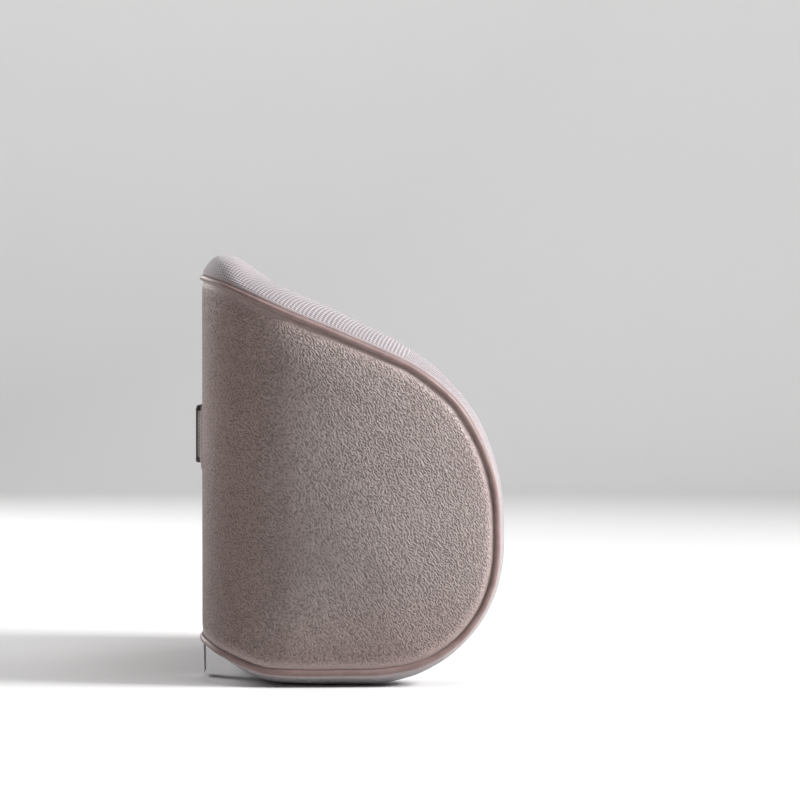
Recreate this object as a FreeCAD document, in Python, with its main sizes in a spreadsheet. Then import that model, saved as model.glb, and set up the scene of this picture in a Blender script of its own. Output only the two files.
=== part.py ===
"""Winged lumbar support cushion: a memory-foam block that stands on a seat and wraps round the waist.

Frame: millimetres, +Z up, origin at the middle of the footprint.  The back that leans on a chair faces
+Y, the two wings reach towards -Y, and the person sits between them facing -Y.
"""
import FreeCAD, Part
import math
import os

import Sketcher
from FreeCAD import Placement, Rotation, Vector

OUT = "parts"
doc = FreeCAD.newDocument("LumbarCushion")

# ------------------------------------------------------------------ driving dimensions
SIZES = {
    # block, seen from above
    "overall_width": 440,
    "wing_reach": 236,
    "back_plane": 112,
    "corner_radius": 75,
    "side_radius": 900,
    "pad_depth": 80,
    "hollow_half_flat": 64,
    "hollow_radius": 88,
    "wing_splay": 10,
    # block, seen from the side
    "top_height": 330,
    "crest_depth": 16,
    "crest_radius": 38,
    "shoulder_radius": 165,
    "shoulder_height": 124,
    "nose_radius": 106,
    "heel_depth": 65,
    "heel_radius": 75,
    "heel_angle": 30,
    "outer_edge_radius": 10,
    "inner_edge_radius": 22,
    # lumbar crown, an ellipsoid that stands out of the pad
    "crown_half_width": 115,
    "crown_half_height": 120,
    "crown_half_depth": 46,
    "crown_depth": 50,
    "crown_height": 142,
    # layers, from the outside in
    "cover_thickness": 2.5,
    "layer_gap": 0.2,
    "liner_thickness": 0.6,
    "seam_inset": 10,
    "seam_half_gap": 2.5,
    "panel_seam": 95,
    "panel_seam_gap": 0.3,
    # piping
    "piping_diameter": 4.6,
    "piping_bore": 3.0,
    "cord_diameter": 2.6,
    # zip in the back
    "zip_height": 76,
    "zip_length": 270,
    "zip_slot": 9,
    "zip_hem_depth": 0.75,
    "zip_margin": 12,
    "tape_width": 12,
    "tape_thickness": 0.6,
    "tape_gap": 0.5,
    "coil_width": 2.5,
    "coil_thickness": 1.4,
    "slider_length": 9.5,
    "slider_width": 7.8,
    "pull_length": 27,
    "pull_width": 6.4,
    # strap and buckle on the back
    "strap_height": 190,
    "strap_width": 38,
    "strap_thickness": 1.5,
    "anchor_reach": 142,
    "anchor_length": 32,
    "anchor_height": 52,
    "buckle_width": 47,
    "buckle_thickness": 11,
    "socket_length": 37,
    "plug_base_length": 24,
    # sewn-in label
    "label_width": 28,
    "label_length": 33,
    "label_thickness": 0.3,
}

sheet = doc.addObject("Spreadsheet::Sheet", "Sizes")
for row, (alias, number) in enumerate(SIZES.items(), start=1):
    sheet.set(f"A{row}", alias)
    sheet.set(f"B{row}", str(number))
    sheet.setAlias(f"B{row}", alias)
doc.recompute()


def value(expression):
    """The number that an expression of sheet cells gives."""
    result = sheet.evalExpression(expression)
    return float(getattr(result, "Value", result))


# ------------------------------------------------------------------ sketch helpers
ORIGIN = -1
START, END, CENTRE = 1, 2, 3
RIGHT, LEFT = 1, -1


class Outline:
    """A sketch whose dimensions are each named and bound to the sheet."""

    def __init__(self, body, plane, name, offset="0"):
        self.sketch = body.newObject("Sketcher::SketchObject", name)
        support = next(f for f in body.Origin.OriginFeatures if f.Role == plane)
        self.sketch.AttachmentSupport = [(support, "")]
        self.sketch.MapMode = "FlatFace"
        if offset != "0":
            self.sketch.setExpression(".AttachmentOffset.Base.z", offset)

    def line(self, start, end):
        return self.sketch.addGeometry(Part.LineSegment(Vector(*start, 0), Vector(*end, 0)))

    def arc(self, centre, radius, first_deg, last_deg):
        circle = Part.Circle(Vector(*centre, 0), Vector(0, 0, 1), radius)
        return self.sketch.addGeometry(
            Part.ArcOfCircle(circle, math.radians(first_deg), math.radians(last_deg))
        )

    def rule(self, *terms):
        return self.sketch.addConstraint(Sketcher.Constraint(*terms))

    def bound(self, kind, expression, *terms):
        """A dimension that follows the sheet."""
        index = self.rule(kind, *terms, value(expression))
        name = f"{kind}_{index}"
        self.sketch.renameConstraint(index, name)
        self.sketch.setExpression(f"Constraints.{name}", expression)

    def place(self, item, point, x_expression, y_expression):
        self.bound("DistanceX", x_expression, ORIGIN, START, item, point)
        self.bound("DistanceY", y_expression, ORIGIN, START, item, point)

    def smooth(self, first, first_point, second, second_point):
        self.rule("Tangent", first, first_point, second, second_point)

    def meet(self, first, first_point, second, second_point):
        self.rule("Coincident", first, first_point, second, second_point)

    def rectangle(self, low_x, low_y, high_x, high_y):
        """An upright rectangle between two corners given as expressions."""
        x0, y0, x1, y1 = (value(e) for e in (low_x, low_y, high_x, high_y))
        corners = [(x0, y0), (x1, y0), (x1, y1), (x0, y1)]
        sides = [self.line(corners[i], corners[(i + 1) % 4]) for i in range(4)]
        for i in range(4):
            self.meet(sides[i], END, sides[(i + 1) % 4], START)
            self.rule("Horizontal" if i % 2 == 0 else "Vertical", sides[i])
        self.place(sides[0], START, low_x, low_y)
        self.place(sides[2], START, high_x, high_y)

    def rounded_rectangle(self, low_x, low_y, high_x, high_y, radius):
        """An upright rectangle with four equal round corners."""
        x0, y0, x1, y1, r = (value(e) for e in (low_x, low_y, high_x, high_y, radius))
        places = [
            (x1 - r, y1 - r, f"{high_x} - {radius}", f"{high_y} - {radius}", 0),
            (x0 + r, y1 - r, f"{low_x} + {radius}", f"{high_y} - {radius}", 90),
            (x0 + r, y0 + r, f"{low_x} + {radius}", f"{low_y} + {radius}", 180),
            (x1 - r, y0 + r, f"{high_x} - {radius}", f"{low_y} + {radius}", 270),
        ]
        corners = []
        for x, y, x_expression, y_expression, first in places:
            corner = self.arc((x, y), r, first, first + 90)
            self.place(corner, CENTRE, x_expression, y_expression)
            self.bound("Radius", radius, corner)
            corners.append(corner)
        for i, corner in enumerate(corners):
            following = corners[(i + 1) % 4]
            here = self.sketch.getPoint(corner, END)
            there = self.sketch.getPoint(following, START)
            side = self.line((here.x, here.y), (there.x, there.y))
            self.smooth(corner, END, side, START)
            self.smooth(side, END, following, START)

    def polygon(self, points):
        """A closed run of straight sides through points given as expressions."""
        spots = [(value(x), value(y)) for x, y in points]
        sides = [self.line(a, b) for a, b in zip(spots, spots[1:] + spots[:1])]
        for i, side in enumerate(sides):
            self.meet(side, END, sides[(i + 1) % len(sides)], START)
            self.place(side, START, *points[i])


# ------------------------------------------------------------------ the block's two outlines
TRIM = 15  # how far the wings run past their tips before the side outline trims them
REAR = 20  # how far the side outline runs past the back plane
END_LINE = f"Sizes.back_plane - Sizes.wing_reach - {TRIM}"


def outer_wall(plan, inset):
    """Back, corners and sides seen from above.  Returns its two free ends."""
    half = value("Sizes.overall_width / 2")
    corner_r = value("Sizes.corner_radius")
    side_r = value("Sizes.side_radius")
    y_back = value("Sizes.back_plane")
    y_arc = y_back - corner_r
    shrink = value(inset)
    sweep = math.degrees(math.asin((y_arc - value(END_LINE)) / (side_r - shrink)))
    back = plan.line((corner_r - half, y_back - shrink), (half - corner_r, y_back - shrink))
    ends = {}
    for side, corner_span, side_span in (
        (RIGHT, (0, 90), (-sweep, 0)),
        (LEFT, (90, 180), (180, 180 + sweep)),
    ):
        corner = plan.arc((side * (half - corner_r), y_arc), corner_r - shrink, *corner_span)
        flank = plan.arc((side * (half - side_r), y_arc), side_r - shrink, *side_span)
        plan.place(
            corner,
            CENTRE,
            f"{side} * (Sizes.overall_width / 2 - Sizes.corner_radius)",
            "Sizes.back_plane - Sizes.corner_radius",
        )
        plan.bound("Radius", f"Sizes.corner_radius - ({inset})", corner)
        plan.bound("Radius", f"Sizes.side_radius - ({inset})", flank)
        plan.bound(
            "DistanceY", "Sizes.back_plane - Sizes.corner_radius", ORIGIN, START, flank, CENTRE
        )
        if side == RIGHT:
            plan.smooth(back, END, corner, END)
            plan.smooth(corner, START, flank, END)
            ends[side] = (flank, START)
        else:
            plan.smooth(back, START, corner, START)
            plan.smooth(corner, END, flank, START)
            ends[side] = (flank, END)
    return ends


def inner_wall(plan, inset):
    """The hollow that holds the waist, seen from above.  Returns its two free ends."""
    half_flat = value("Sizes.hollow_half_flat")
    shrink = value(inset)
    radius = value("Sizes.hollow_radius") + shrink
    splay = math.radians(value("Sizes.wing_splay"))
    y_pad = value("Sizes.back_plane - Sizes.pad_depth")
    y_arc = y_pad - value("Sizes.hollow_radius")
    y_end = value(END_LINE)
    pad = plan.line((-half_flat, y_pad + shrink), (half_flat, y_pad + shrink))
    ends = {}
    for side in (RIGHT, LEFT):
        first, last = (math.degrees(splay), 90) if side == RIGHT else (90, 180 - math.degrees(splay))
        bend = plan.arc((side * half_flat, y_arc), radius, first, last)
        x_start = side * (half_flat + radius * math.cos(splay))
        y_start = y_arc + radius * math.sin(splay)
        x_end = x_start + side * (y_start - y_end) * math.tan(splay)
        face = plan.line((x_start, y_start), (x_end, y_end))
        low_point, high_point = (START, END) if side == RIGHT else (END, START)
        plan.place(
            bend,
            CENTRE,
            f"{side} * Sizes.hollow_half_flat",
            "Sizes.back_plane - Sizes.pad_depth - Sizes.hollow_radius",
        )
        plan.bound("Radius", f"Sizes.hollow_radius + ({inset})", bend)
        plan.bound(
            "DistanceY",
            f"(Sizes.hollow_radius + ({inset})) * sin(Sizes.wing_splay * 1deg)",
            bend,
            CENTRE,
            bend,
            low_point,
        )
        plan.smooth(pad, END if side == RIGHT else START, bend, high_point)
        plan.smooth(bend, low_point, face, START)
        ends[side] = (face, END)
    return ends


def close_ends(plan, first_ends, second_ends):
    """Straight cuts across both wings, beyond their tips."""
    for side in (RIGHT, LEFT):
        ends = [plan.sketch.getPoint(*first_ends[side]), plan.sketch.getPoint(*second_ends[side])]
        cut = plan.line((ends[0].x, ends[0].y), (ends[1].x, ends[1].y))
        plan.meet(first_ends[side][0], first_ends[side][1], cut, START)
        plan.meet(second_ends[side][0], second_ends[side][1], cut, END)
        plan.rule("Horizontal", cut)
        plan.bound("DistanceY", END_LINE, ORIGIN, START, cut, START)


def side_outline(side, inset):
    """The D shape of the block seen from the side; sketch x is the frame's Y and sketch y is Z."""
    shrink = value(inset)
    y_back = value("Sizes.back_plane")
    top = value("Sizes.top_height") - shrink
    rear = y_back + REAR
    crest = (y_back - value("Sizes.crest_depth"), value("Sizes.top_height - Sizes.crest_radius"))
    shoulder = (
        y_back - value("Sizes.wing_reach - Sizes.shoulder_radius"),
        value("Sizes.shoulder_height"),
    )
    nose = (y_back - value("Sizes.wing_reach - Sizes.nose_radius"), value("Sizes.nose_radius"))
    heel = (y_back - value("Sizes.heel_depth"), value("Sizes.heel_radius"))
    crest_r = value("Sizes.crest_radius") - shrink
    shoulder_r = value("Sizes.shoulder_radius") - shrink
    nose_r = value("Sizes.nose_radius") - shrink
    heel_r = value("Sizes.heel_radius") - shrink
    heel_turn = value("Sizes.heel_angle")
    # direction of the normal shared by the crest, the sloping top edge and the shoulder
    run, rise = crest[0] - shoulder[0], crest[1] - shoulder[1]
    tilt = math.degrees(math.atan2(rise, run) + math.acos((shoulder_r - crest_r) / math.hypot(run, rise)))

    def on(centre, radius, degrees):
        return (
            centre[0] + radius * math.cos(math.radians(degrees)),
            centre[1] + radius * math.sin(math.radians(degrees)),
        )

    heel_end = on(heel, heel_r, 270 + heel_turn)
    rear_low = (rear, heel_end[1] + (rear - heel_end[0]) * math.tan(math.radians(heel_turn)))
    top_line = side.line((rear, top), (crest[0], top))
    crest_arc = side.arc(crest, crest_r, 90, tilt)
    slope = side.line(on(crest, crest_r, tilt), on(shoulder, shoulder_r, tilt))
    shoulder_arc = side.arc(shoulder, shoulder_r, tilt, 180)
    front = side.line(on(shoulder, shoulder_r, 180), on(nose, nose_r, 180))
    nose_arc = side.arc(nose, nose_r, 180, 270)
    bottom = side.line(on(nose, nose_r, 270), on(heel, heel_r, 270))
    heel_arc = side.arc(heel, heel_r, 270, 270 + heel_turn)
    heel_line = side.line(heel_end, rear_low)
    rear_line = side.line(rear_low, (rear, top))

    side.place(
        crest_arc,
        CENTRE,
        "Sizes.back_plane - Sizes.crest_depth",
        "Sizes.top_height - Sizes.crest_radius",
    )
    side.place(
        shoulder_arc,
        CENTRE,
        "Sizes.back_plane - Sizes.wing_reach + Sizes.shoulder_radius",
        "Sizes.shoulder_height",
    )
    side.place(
        nose_arc,
        CENTRE,
        "Sizes.back_plane - Sizes.wing_reach + Sizes.nose_radius",
        "Sizes.nose_radius",
    )
    side.place(heel_arc, CENTRE, "Sizes.back_plane - Sizes.heel_depth", "Sizes.heel_radius")
    for arc, cell in (
        (crest_arc, "crest_radius"),
        (shoulder_arc, "shoulder_radius"),
        (nose_arc, "nose_radius"),
        (heel_arc, "heel_radius"),
    ):
        side.bound("Radius", f"Sizes.{cell} - ({inset})", arc)
    side.rule("Horizontal", top_line)
    side.smooth(top_line, END, crest_arc, START)
    side.smooth(crest_arc, END, slope, START)
    side.smooth(slope, END, shoulder_arc, START)
    side.smooth(shoulder_arc, END, front, START)
    side.smooth(front, END, nose_arc, START)
    side.smooth(nose_arc, END, bottom, START)
    side.smooth(bottom, END, heel_arc, START)
    side.smooth(heel_arc, END, heel_line, START)
    side.bound(
        "DistanceX",
        f"(Sizes.heel_radius - ({inset})) * sin(Sizes.heel_angle * 1deg)",
        heel_arc,
        CENTRE,
        heel_arc,
        END,
    )
    side.meet(heel_line, END, rear_line, START)
    side.meet(rear_line, END, top_line, START)
    side.rule("Vertical", rear_line)
    side.bound("DistanceX", f"Sizes.back_plane + {REAR}", ORIGIN, START, rear_line, START)


# ------------------------------------------------------------------ solids made from the outlines
def wrapped_block(name, profile_inset, draw_plan):
    """A body: the plan padded upwards, then everything outside the side outline pocketed away."""
    body = doc.addObject("PartDesign::Body", name)
    plan = Outline(body, "XY_Plane", f"{name}_plan", f"-{TRIM}")
    draw_plan(plan)
    pad = body.newObject("PartDesign::Pad", f"{name}_pad")
    pad.Profile = plan.sketch
    pad.setExpression("Length", f"Sizes.top_height + {2 * TRIM}")
    side = Outline(body, "YZ_Plane", f"{name}_side")
    side_outline(side, profile_inset)
    side.rectangle(
        f"Sizes.back_plane - Sizes.wing_reach - {3 * TRIM}",
        f"-{3 * TRIM}",
        f"Sizes.back_plane + {2 * REAR}",
        f"Sizes.top_height + {3 * TRIM}",
    )
    trim = body.newObject("PartDesign::Pocket", f"{name}_trim")
    trim.Profile = side.sketch
    trim.Type = "ThroughAll"
    trim.SideType = "Symmetric"
    doc.recompute()
    return body


def middle_normal(face):
    return face.normalAt(*face.Surface.parameter(face.CenterOfMass))


def is_wall(face, y_tip):
    """True for the upright walls of the plan, False for the surfaces that the side outline cut."""
    surface = face.Surface
    if isinstance(surface, Part.Cylinder):
        return abs(surface.Axis.z) > 0.99
    if not isinstance(surface, Part.Plane):
        return False
    normal = middle_normal(face)
    if abs(normal.y) > 0.99:
        return abs(face.CenterOfMass.y - y_tip) > 1
    return abs(normal.z) < 0.01


def rim_edges(shape, inset, outside):
    """Names of the edges between the walls and the trimmed rim, on the outer or the hollow side."""
    y_tip = value(f"Sizes.back_plane - Sizes.wing_reach + ({inset})")
    inside_point = Vector(0, value("Sizes.back_plane - Sizes.pad_depth") - 90, 0)
    names = []
    for number, edge in enumerate(shape.Edges, start=1):
        faces = shape.ancestorsOfType(edge, Part.Face)
        walls = [f for f in faces if is_wall(f, y_tip)]
        if len(walls) != 1:
            continue
        outward = (walls[0].CenterOfMass - inside_point).dot(middle_normal(walls[0])) > 0
        if outward == outside:
            names.append(f"Edge{number}")
    return names


def cushion(name, inset):
    """The whole soft block, every face moved in by inset, with rounded rims and the lumbar crown."""

    def plan(outline):
        close_ends(outline, outer_wall(outline, inset), inner_wall(outline, inset))

    body = wrapped_block(name, inset, plan)
    for label, cell, outside in (
        ("outer_rim", "outer_edge_radius", True),
        ("inner_rim", "inner_edge_radius", False),
    ):
        base = body.Tip
        rounding = body.newObject("PartDesign::Fillet", f"{name}_{label}")
        rounding.Base = (base, rim_edges(base.Shape, inset, outside))
        rounding.setExpression("Radius", f"Sizes.{cell} - ({inset})")
        doc.recompute()
    crown = body.newObject("PartDesign::AdditiveEllipsoid", f"{name}_crown")
    crown.setExpression("Radius1", f"Sizes.crown_half_height - ({inset})")
    crown.setExpression("Radius2", f"Sizes.crown_half_width - ({inset})")
    crown.setExpression("Radius3", f"Sizes.crown_half_depth - ({inset})")
    support = next(f for f in body.Origin.OriginFeatures if f.Role == "XY_Plane")
    crown.AttachmentSupport = [(support, "")]
    crown.MapMode = "FlatFace"
    crown.setExpression(".AttachmentOffset.Base.y", "Sizes.back_plane - Sizes.crown_depth")
    crown.setExpression(".AttachmentOffset.Base.z", "Sizes.crown_height")
    doc.recompute()
    return body


# ------------------------------------------------------------------ small building blocks
def block(name, x, y, z):
    """A box between three pairs of expressions."""
    item = doc.addObject("Part::Box", name)
    for axis, side, (low, high) in zip("xyz", ("Length", "Width", "Height"), (x, y, z)):
        item.setExpression(f".Placement.Base.{axis}", low)
        item.setExpression(side, f"({high}) - ({low})")
    return item


def around(centre, half):
    """The pair of expressions that spans half on both sides of centre."""
    return f"{centre} - ({half})", f"{centre} + ({half})"


def cut(name, base, *tools):
    for number, tool in enumerate(tools, start=1):
        last = number == len(tools)
        step = doc.addObject("Part::Cut", name if last else f"{name}_step{number}")
        step.Base, step.Tool = base, tool
        base = step
    return base


def fuse(name, *items):
    union = doc.addObject("Part::MultiFuse", name)
    union.Shapes = list(items)
    union.Refine = True
    return union


def common(name, first, second):
    overlap = doc.addObject("Part::Common", name)
    overlap.Base, overlap.Tool = first, second
    return overlap


def mirrored(name, source):
    """The same shape on the other side of the plane x = 0."""
    twin = doc.addObject("Part::Mirroring", name)
    twin.Source = source
    twin.Normal = Vector(1, 0, 0)
    return twin


def plate(name, low_y, high_y, draw):
    """A body: an outline seen from behind, given a thickness along Y."""
    body = doc.addObject("PartDesign::Body", name)
    face = Outline(body, "XZ_Plane", f"{name}_outline", f"-({low_y})")
    draw(face)
    pad = body.newObject("PartDesign::Pad", f"{name}_pad")
    pad.Profile = face.sketch
    pad.Reversed = True
    pad.setExpression("Length", f"({high_y}) - ({low_y})")
    return body


def behind(distance):
    """A Y position measured out from the back plane."""
    return f"Sizes.back_plane + ({distance})"


# ------------------------------------------------------------------ foam, liner and cover skins
cover_outside = cushion("cover_outside", "0")
cover_inside = cushion("cover_inside", "Sizes.cover_thickness")
LINER_OUT = "(Sizes.cover_thickness + Sizes.layer_gap)"
LINER_IN = f"({LINER_OUT} + Sizes.liner_thickness)"
liner_outside = cushion("liner_outside", LINER_OUT)
liner_inside = cushion("liner_inside", LINER_IN)
foam_core = cushion("foam_core", f"({LINER_IN} + Sizes.layer_gap)")

liner = cut("liner", liner_outside, liner_inside)
# the liner is two sheets that meet 18 mm in from the rim of the outer wall
WIDE = "Sizes.overall_width"
FAR_FRONT = "Sizes.back_plane - Sizes.wing_reach - 30"
FAR_BACK = "Sizes.back_plane + 30"
TALL = ("-30", "Sizes.top_height + 30")
LINER_SEAM = "18"


def liner_zone(name, profile_inset, depth):
    return wrapped_block(
        name,
        profile_inset,
        lambda plan: close_ends(plan, outer_wall(plan, "-4"), outer_wall(plan, depth)),
    )


inner_liner_back = common("inner_liner_back", liner, liner_zone("back_zone", LINER_SEAM, "18"))
inner_liner_front = cut(
    "inner_liner_front", liner, liner_zone("front_keep_out", f"{LINER_SEAM} - 0.5", "18.4")
)

cover = cut("cover", cover_outside, cover_inside)


def wall_band(name, profile_inset):
    """The strip of outer wall that lies inside a seam line."""
    return wrapped_block(
        name,
        profile_inset,
        lambda plan: close_ends(plan, outer_wall(plan, "-4"), outer_wall(plan, "4")),
    )


leather_band = wall_band("leather_band", "Sizes.seam_inset + Sizes.seam_half_gap")
mesh_band = wall_band("mesh_band", "Sizes.seam_inset - Sizes.seam_half_gap")
ZIP_HALF = "Sizes.zip_length / 2"
zip_slot = block(
    "zip_slot",
    (f"-{ZIP_HALF}", ZIP_HALF),
    (behind("-9"), behind("9")),
    around("Sizes.zip_height", "Sizes.zip_slot / 2"),
)
TAPE_SPAN = f"({ZIP_HALF} + Sizes.zip_margin)"
zip_hem = block(
    "zip_hem",
    (f"-{TAPE_SPAN}", TAPE_SPAN),
    (behind("-9"), behind("-Sizes.zip_hem_depth")),
    around("Sizes.zip_height", "Sizes.tape_width + 2"),
)
outer_panel = cut("outer_panel", common("leather_skin", cover, leather_band), zip_slot, zip_hem)

mesh = cut("mesh_skin", cover, mesh_band)
SEAM_X = "(Sizes.panel_seam - Sizes.panel_seam_gap / 2)"
centre_zone = block("centre_zone", (f"-{SEAM_X}", SEAM_X), (FAR_FRONT, FAR_BACK), TALL)
WING_X = "(Sizes.panel_seam + Sizes.panel_seam_gap / 2)"
right_zone = block("right_zone", (WING_X, WIDE), (FAR_FRONT, FAR_BACK), TALL)
left_zone = block("left_zone", (f"-{WIDE}", f"-{WING_X}"), (FAR_FRONT, FAR_BACK), TALL)
front_center_panel = common("front_center_panel", mesh, centre_zone)
front_wing_panel_right = common("front_wing_panel_right", mesh, right_zone)
front_wing_panel_left = common("front_wing_panel_left", mesh, left_zone)


# ------------------------------------------------------------------ piping along the seam
def half_wall(plan):
    """The right half of the outer wall, closed along the middle plane."""
    half = value("Sizes.overall_width / 2")
    corner_r, side_r = value("Sizes.corner_radius"), value("Sizes.side_radius")
    y_back, y_end = value("Sizes.back_plane"), value(END_LINE)
    y_arc = y_back - corner_r
    sweep = math.degrees(math.asin((y_arc - y_end) / side_r))
    back = plan.line((0, y_back), (half - corner_r, y_back))
    corner = plan.arc((half - corner_r, y_arc), corner_r, 0, 90)
    flank = plan.arc((half - side_r, y_arc), side_r, -sweep, 0)
    plan.place(
        corner,
        CENTRE,
        "Sizes.overall_width / 2 - Sizes.corner_radius",
        "Sizes.back_plane - Sizes.corner_radius",
    )
    plan.bound("Radius", "Sizes.corner_radius", corner)
    plan.bound("Radius", "Sizes.side_radius", flank)
    plan.bound("DistanceY", "Sizes.back_plane - Sizes.corner_radius", ORIGIN, START, flank, CENTRE)
    plan.smooth(back, END, corner, END)
    plan.smooth(corner, START, flank, END)
    tip = plan.sketch.getPoint(flank, START)
    cut_line = plan.line((tip.x, y_end), (0, y_end))
    middle = plan.line((0, y_end), (0, y_back))
    plan.meet(flank, START, cut_line, START)
    plan.meet(cut_line, END, middle, START)
    plan.meet(middle, END, back, START)
    plan.rule("Horizontal", cut_line)
    plan.rule("Vertical", middle)
    plan.rule("PointOnObject", back, START, -2)
    plan.bound("DistanceY", END_LINE, ORIGIN, START, cut_line, START)


seam_block = wrapped_block("seam_block", "Sizes.seam_inset", half_wall)


def seam_edges():
    """The edges of the half wall that the seam follows."""
    shape = seam_block.Shape
    y_tip = value("Sizes.back_plane - Sizes.wing_reach + Sizes.seam_inset")
    names = []
    for number, edge in enumerate(shape.Edges, start=1):
        faces = shape.ancestorsOfType(edge, Part.Face)
        walls = [f for f in faces if is_wall(f, y_tip)]
        on_middle = all(abs(v.X) < 1e-4 for v in edge.Vertexes)
        if len(walls) == 1 and not on_middle and abs(walls[0].CenterOfMass.x) > 1e-3:
            names.append(f"Edge{number}")
    return names


def seam_cord(name, diameter):
    """A round cord along the whole seam: one half swept, its twin mirrored."""
    section = doc.addObject("Part::Circle", f"{name}_section")
    section.setExpression("Radius", f"{diameter} / 2")
    section.Placement = Placement(Vector(0, 0, 0), Rotation(Vector(0, 1, 0), 90))
    section.setExpression(".Placement.Base.y", "Sizes.back_plane")
    section.setExpression(".Placement.Base.z", "Sizes.top_height - Sizes.seam_inset")
    half = doc.addObject("Part::Sweep", f"{name}_half")
    half.Sections = [section]
    half.Spine = (seam_block, seam_edges())
    half.Solid = True
    half.Frenet = False
    doc.recompute()
    return fuse(name, half, mirrored(f"{name}_twin", half))


piping_solid = seam_cord("piping_solid", "Sizes.piping_diameter")
piping_bore = seam_cord("piping_bore", "Sizes.piping_bore")
edge_piping = cut("edge_piping", piping_solid, piping_bore)
piping_cord = seam_cord("piping_cord", "Sizes.cord_diameter")

# ------------------------------------------------------------------ zip
SLIDER_X = f"({ZIP_HALF} - 9)"
POST_HALF = "1.2"
NOTCH = "1.6"
TAPE_Y = (behind("-0.85 - Sizes.tape_thickness"), behind("-0.85"))
COIL_Y = (behind("-0.8"), behind("-0.8 + Sizes.coil_thickness"))
COIL_X = (f"-{ZIP_HALF} + 9", f"{ZIP_HALF} - 4")
ABOVE, BELOW = "1", "-1"


def band_beside(centre, side, near, far):
    """A pair of expressions that spans near to far on one side of centre."""
    low, high = (near, far) if side == ABOVE else (far, near)
    return f"{centre} + {side} * ({low})", f"{centre} + {side} * ({high})"


def zip_half(part, side, x, y, near, far, name):
    """One tape or one coil, with room left for the slider's post at the closed end."""
    strip = block(f"{name}_strip", x, y, band_beside("Sizes.zip_height", side, near, far))
    notch = block(
        f"{name}_notch",
        (f"{SLIDER_X} + 0.3", f"{TAPE_SPAN} + 5"),
        (behind("-4"), behind("4")),
        band_beside("Sizes.zip_height", side, "-1", NOTCH),
    )
    return cut(f"zip_{part}_{'upper' if side == ABOVE else 'lower'}", strip, notch)


TAPE_X = (f"-{TAPE_SPAN} + 1", f"{TAPE_SPAN} - 1")
tapes = [
    zip_half("tape", side, TAPE_X, TAPE_Y, "Sizes.tape_gap / 2", "Sizes.tape_width + 0.5", f"tape{n}")
    for n, side in enumerate((ABOVE, BELOW))
]
coils = [
    zip_half("coil", side, COIL_X, COIL_Y, "0.05", "0.05 + Sizes.coil_width", f"coil{n}")
    for n, side in enumerate((ABOVE, BELOW))
]

HALF_SLIDER = "Sizes.slider_length / 2"
HALF_SLIDER_Z = "Sizes.slider_width / 2"
PIVOT_RISE = 2.85  # of the pull's pin above the back plane
slider_x = around(SLIDER_X, HALF_SLIDER)
slider_z = around("Sizes.zip_height", HALF_SLIDER_Z)
slider_parts = [
    block("slider_sole", slider_x, (behind("-2.45"), behind("-1.55")), slider_z),
    block("slider_top", slider_x, (behind("0.75"), behind("1.95")), slider_z),
    block(
        "slider_post",
        (f"{SLIDER_X} + 0.7", f"{SLIDER_X} + {HALF_SLIDER}"),
        (behind("-2"), behind("1.5")),
        around("Sizes.zip_height", POST_HALF),
    ),
]
for n, side in enumerate((ABOVE, BELOW)):
    slider_parts.append(
        block(
            f"slider_flange{n}",
            slider_x,
            (behind("-0.7"), behind("1.5")),
            band_beside("Sizes.zip_height", side, f"{HALF_SLIDER_Z} - 0.9", HALF_SLIDER_Z),
        )
    )
bridge = cut(
    "slider_bridge",
    block(
        "bridge_outside",
        around(SLIDER_X, "2.9"),
        (behind("1.5"), behind("4.55")),
        around("Sizes.zip_height", "0.7"),
    ),
    block(
        "bridge_inside",
        around(SLIDER_X, "2.1"),
        (behind("1.95"), behind("3.75")),
        around("Sizes.zip_height", "2"),
    ),
)
zip_slider = fuse("zip_slider", *slider_parts, bridge)

pull_pin = doc.addObject("Part::Cylinder", "pull_pin")
pull_pin.Radius = 0.55
pull_pin.Height = 3.6
pull_pin.setExpression(".Placement.Base.x", SLIDER_X)
pull_pin.setExpression(".Placement.Base.y", behind(PIVOT_RISE))
pull_pin.setExpression(".Placement.Base.z", "Sizes.zip_height - 1.8")
PULL_Y = around(behind(PIVOT_RISE), "0.55")
pull_arms = [
    block(
        f"pull_arm{n}",
        (f"{SLIDER_X} - 5.2", SLIDER_X),
        PULL_Y,
        band_beside("Sizes.zip_height", side, "1", "1.8"),
    )
    for n, side in enumerate((ABOVE, BELOW))
]


def pull_outline(face):
    face.rounded_rectangle(
        f"{SLIDER_X} - 4.4 - Sizes.pull_length",
        "Sizes.zip_height - Sizes.pull_width / 2",
        f"{SLIDER_X} - 4.4",
        "Sizes.zip_height + Sizes.pull_width / 2",
        "1.4",
    )


def pull_hole_outline(face):
    face.rounded_rectangle(
        f"{SLIDER_X} - 2.2 - Sizes.pull_length",
        "Sizes.zip_height - Sizes.pull_width / 2 + 1.6",
        f"{SLIDER_X} + 3.5 - Sizes.pull_length",
        "Sizes.zip_height + Sizes.pull_width / 2 - 1.6",
        "1.2",
    )


pull_tab = cut(
    "pull_tab",
    plate("pull_plate", *PULL_Y, pull_outline),
    plate("pull_hole", behind("0"), behind("6"), pull_hole_outline),
)
zip_pull = fuse("zip_pull", pull_pin, *pull_arms, pull_tab)

zip_top_stops = fuse(
    "zip_top_stops",
    *[
        block(
            f"top_stop{n}",
            (f"{ZIP_HALF} - 3.8", f"{ZIP_HALF} - 1.3"),
            (behind("-0.8"), behind("0.5")),
            band_beside("Sizes.zip_height", side, NOTCH, "3.8"),
        )
        for n, side in enumerate((ABOVE, BELOW))
    ],
)
zip_bottom_stop = block(
    "zip_bottom_stop",
    (f"-{ZIP_HALF} + 5.5", f"-{ZIP_HALF} + 8.5"),
    (behind("-0.8"), behind("0.5")),
    around("Sizes.zip_height", "2.6"),
)

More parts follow.
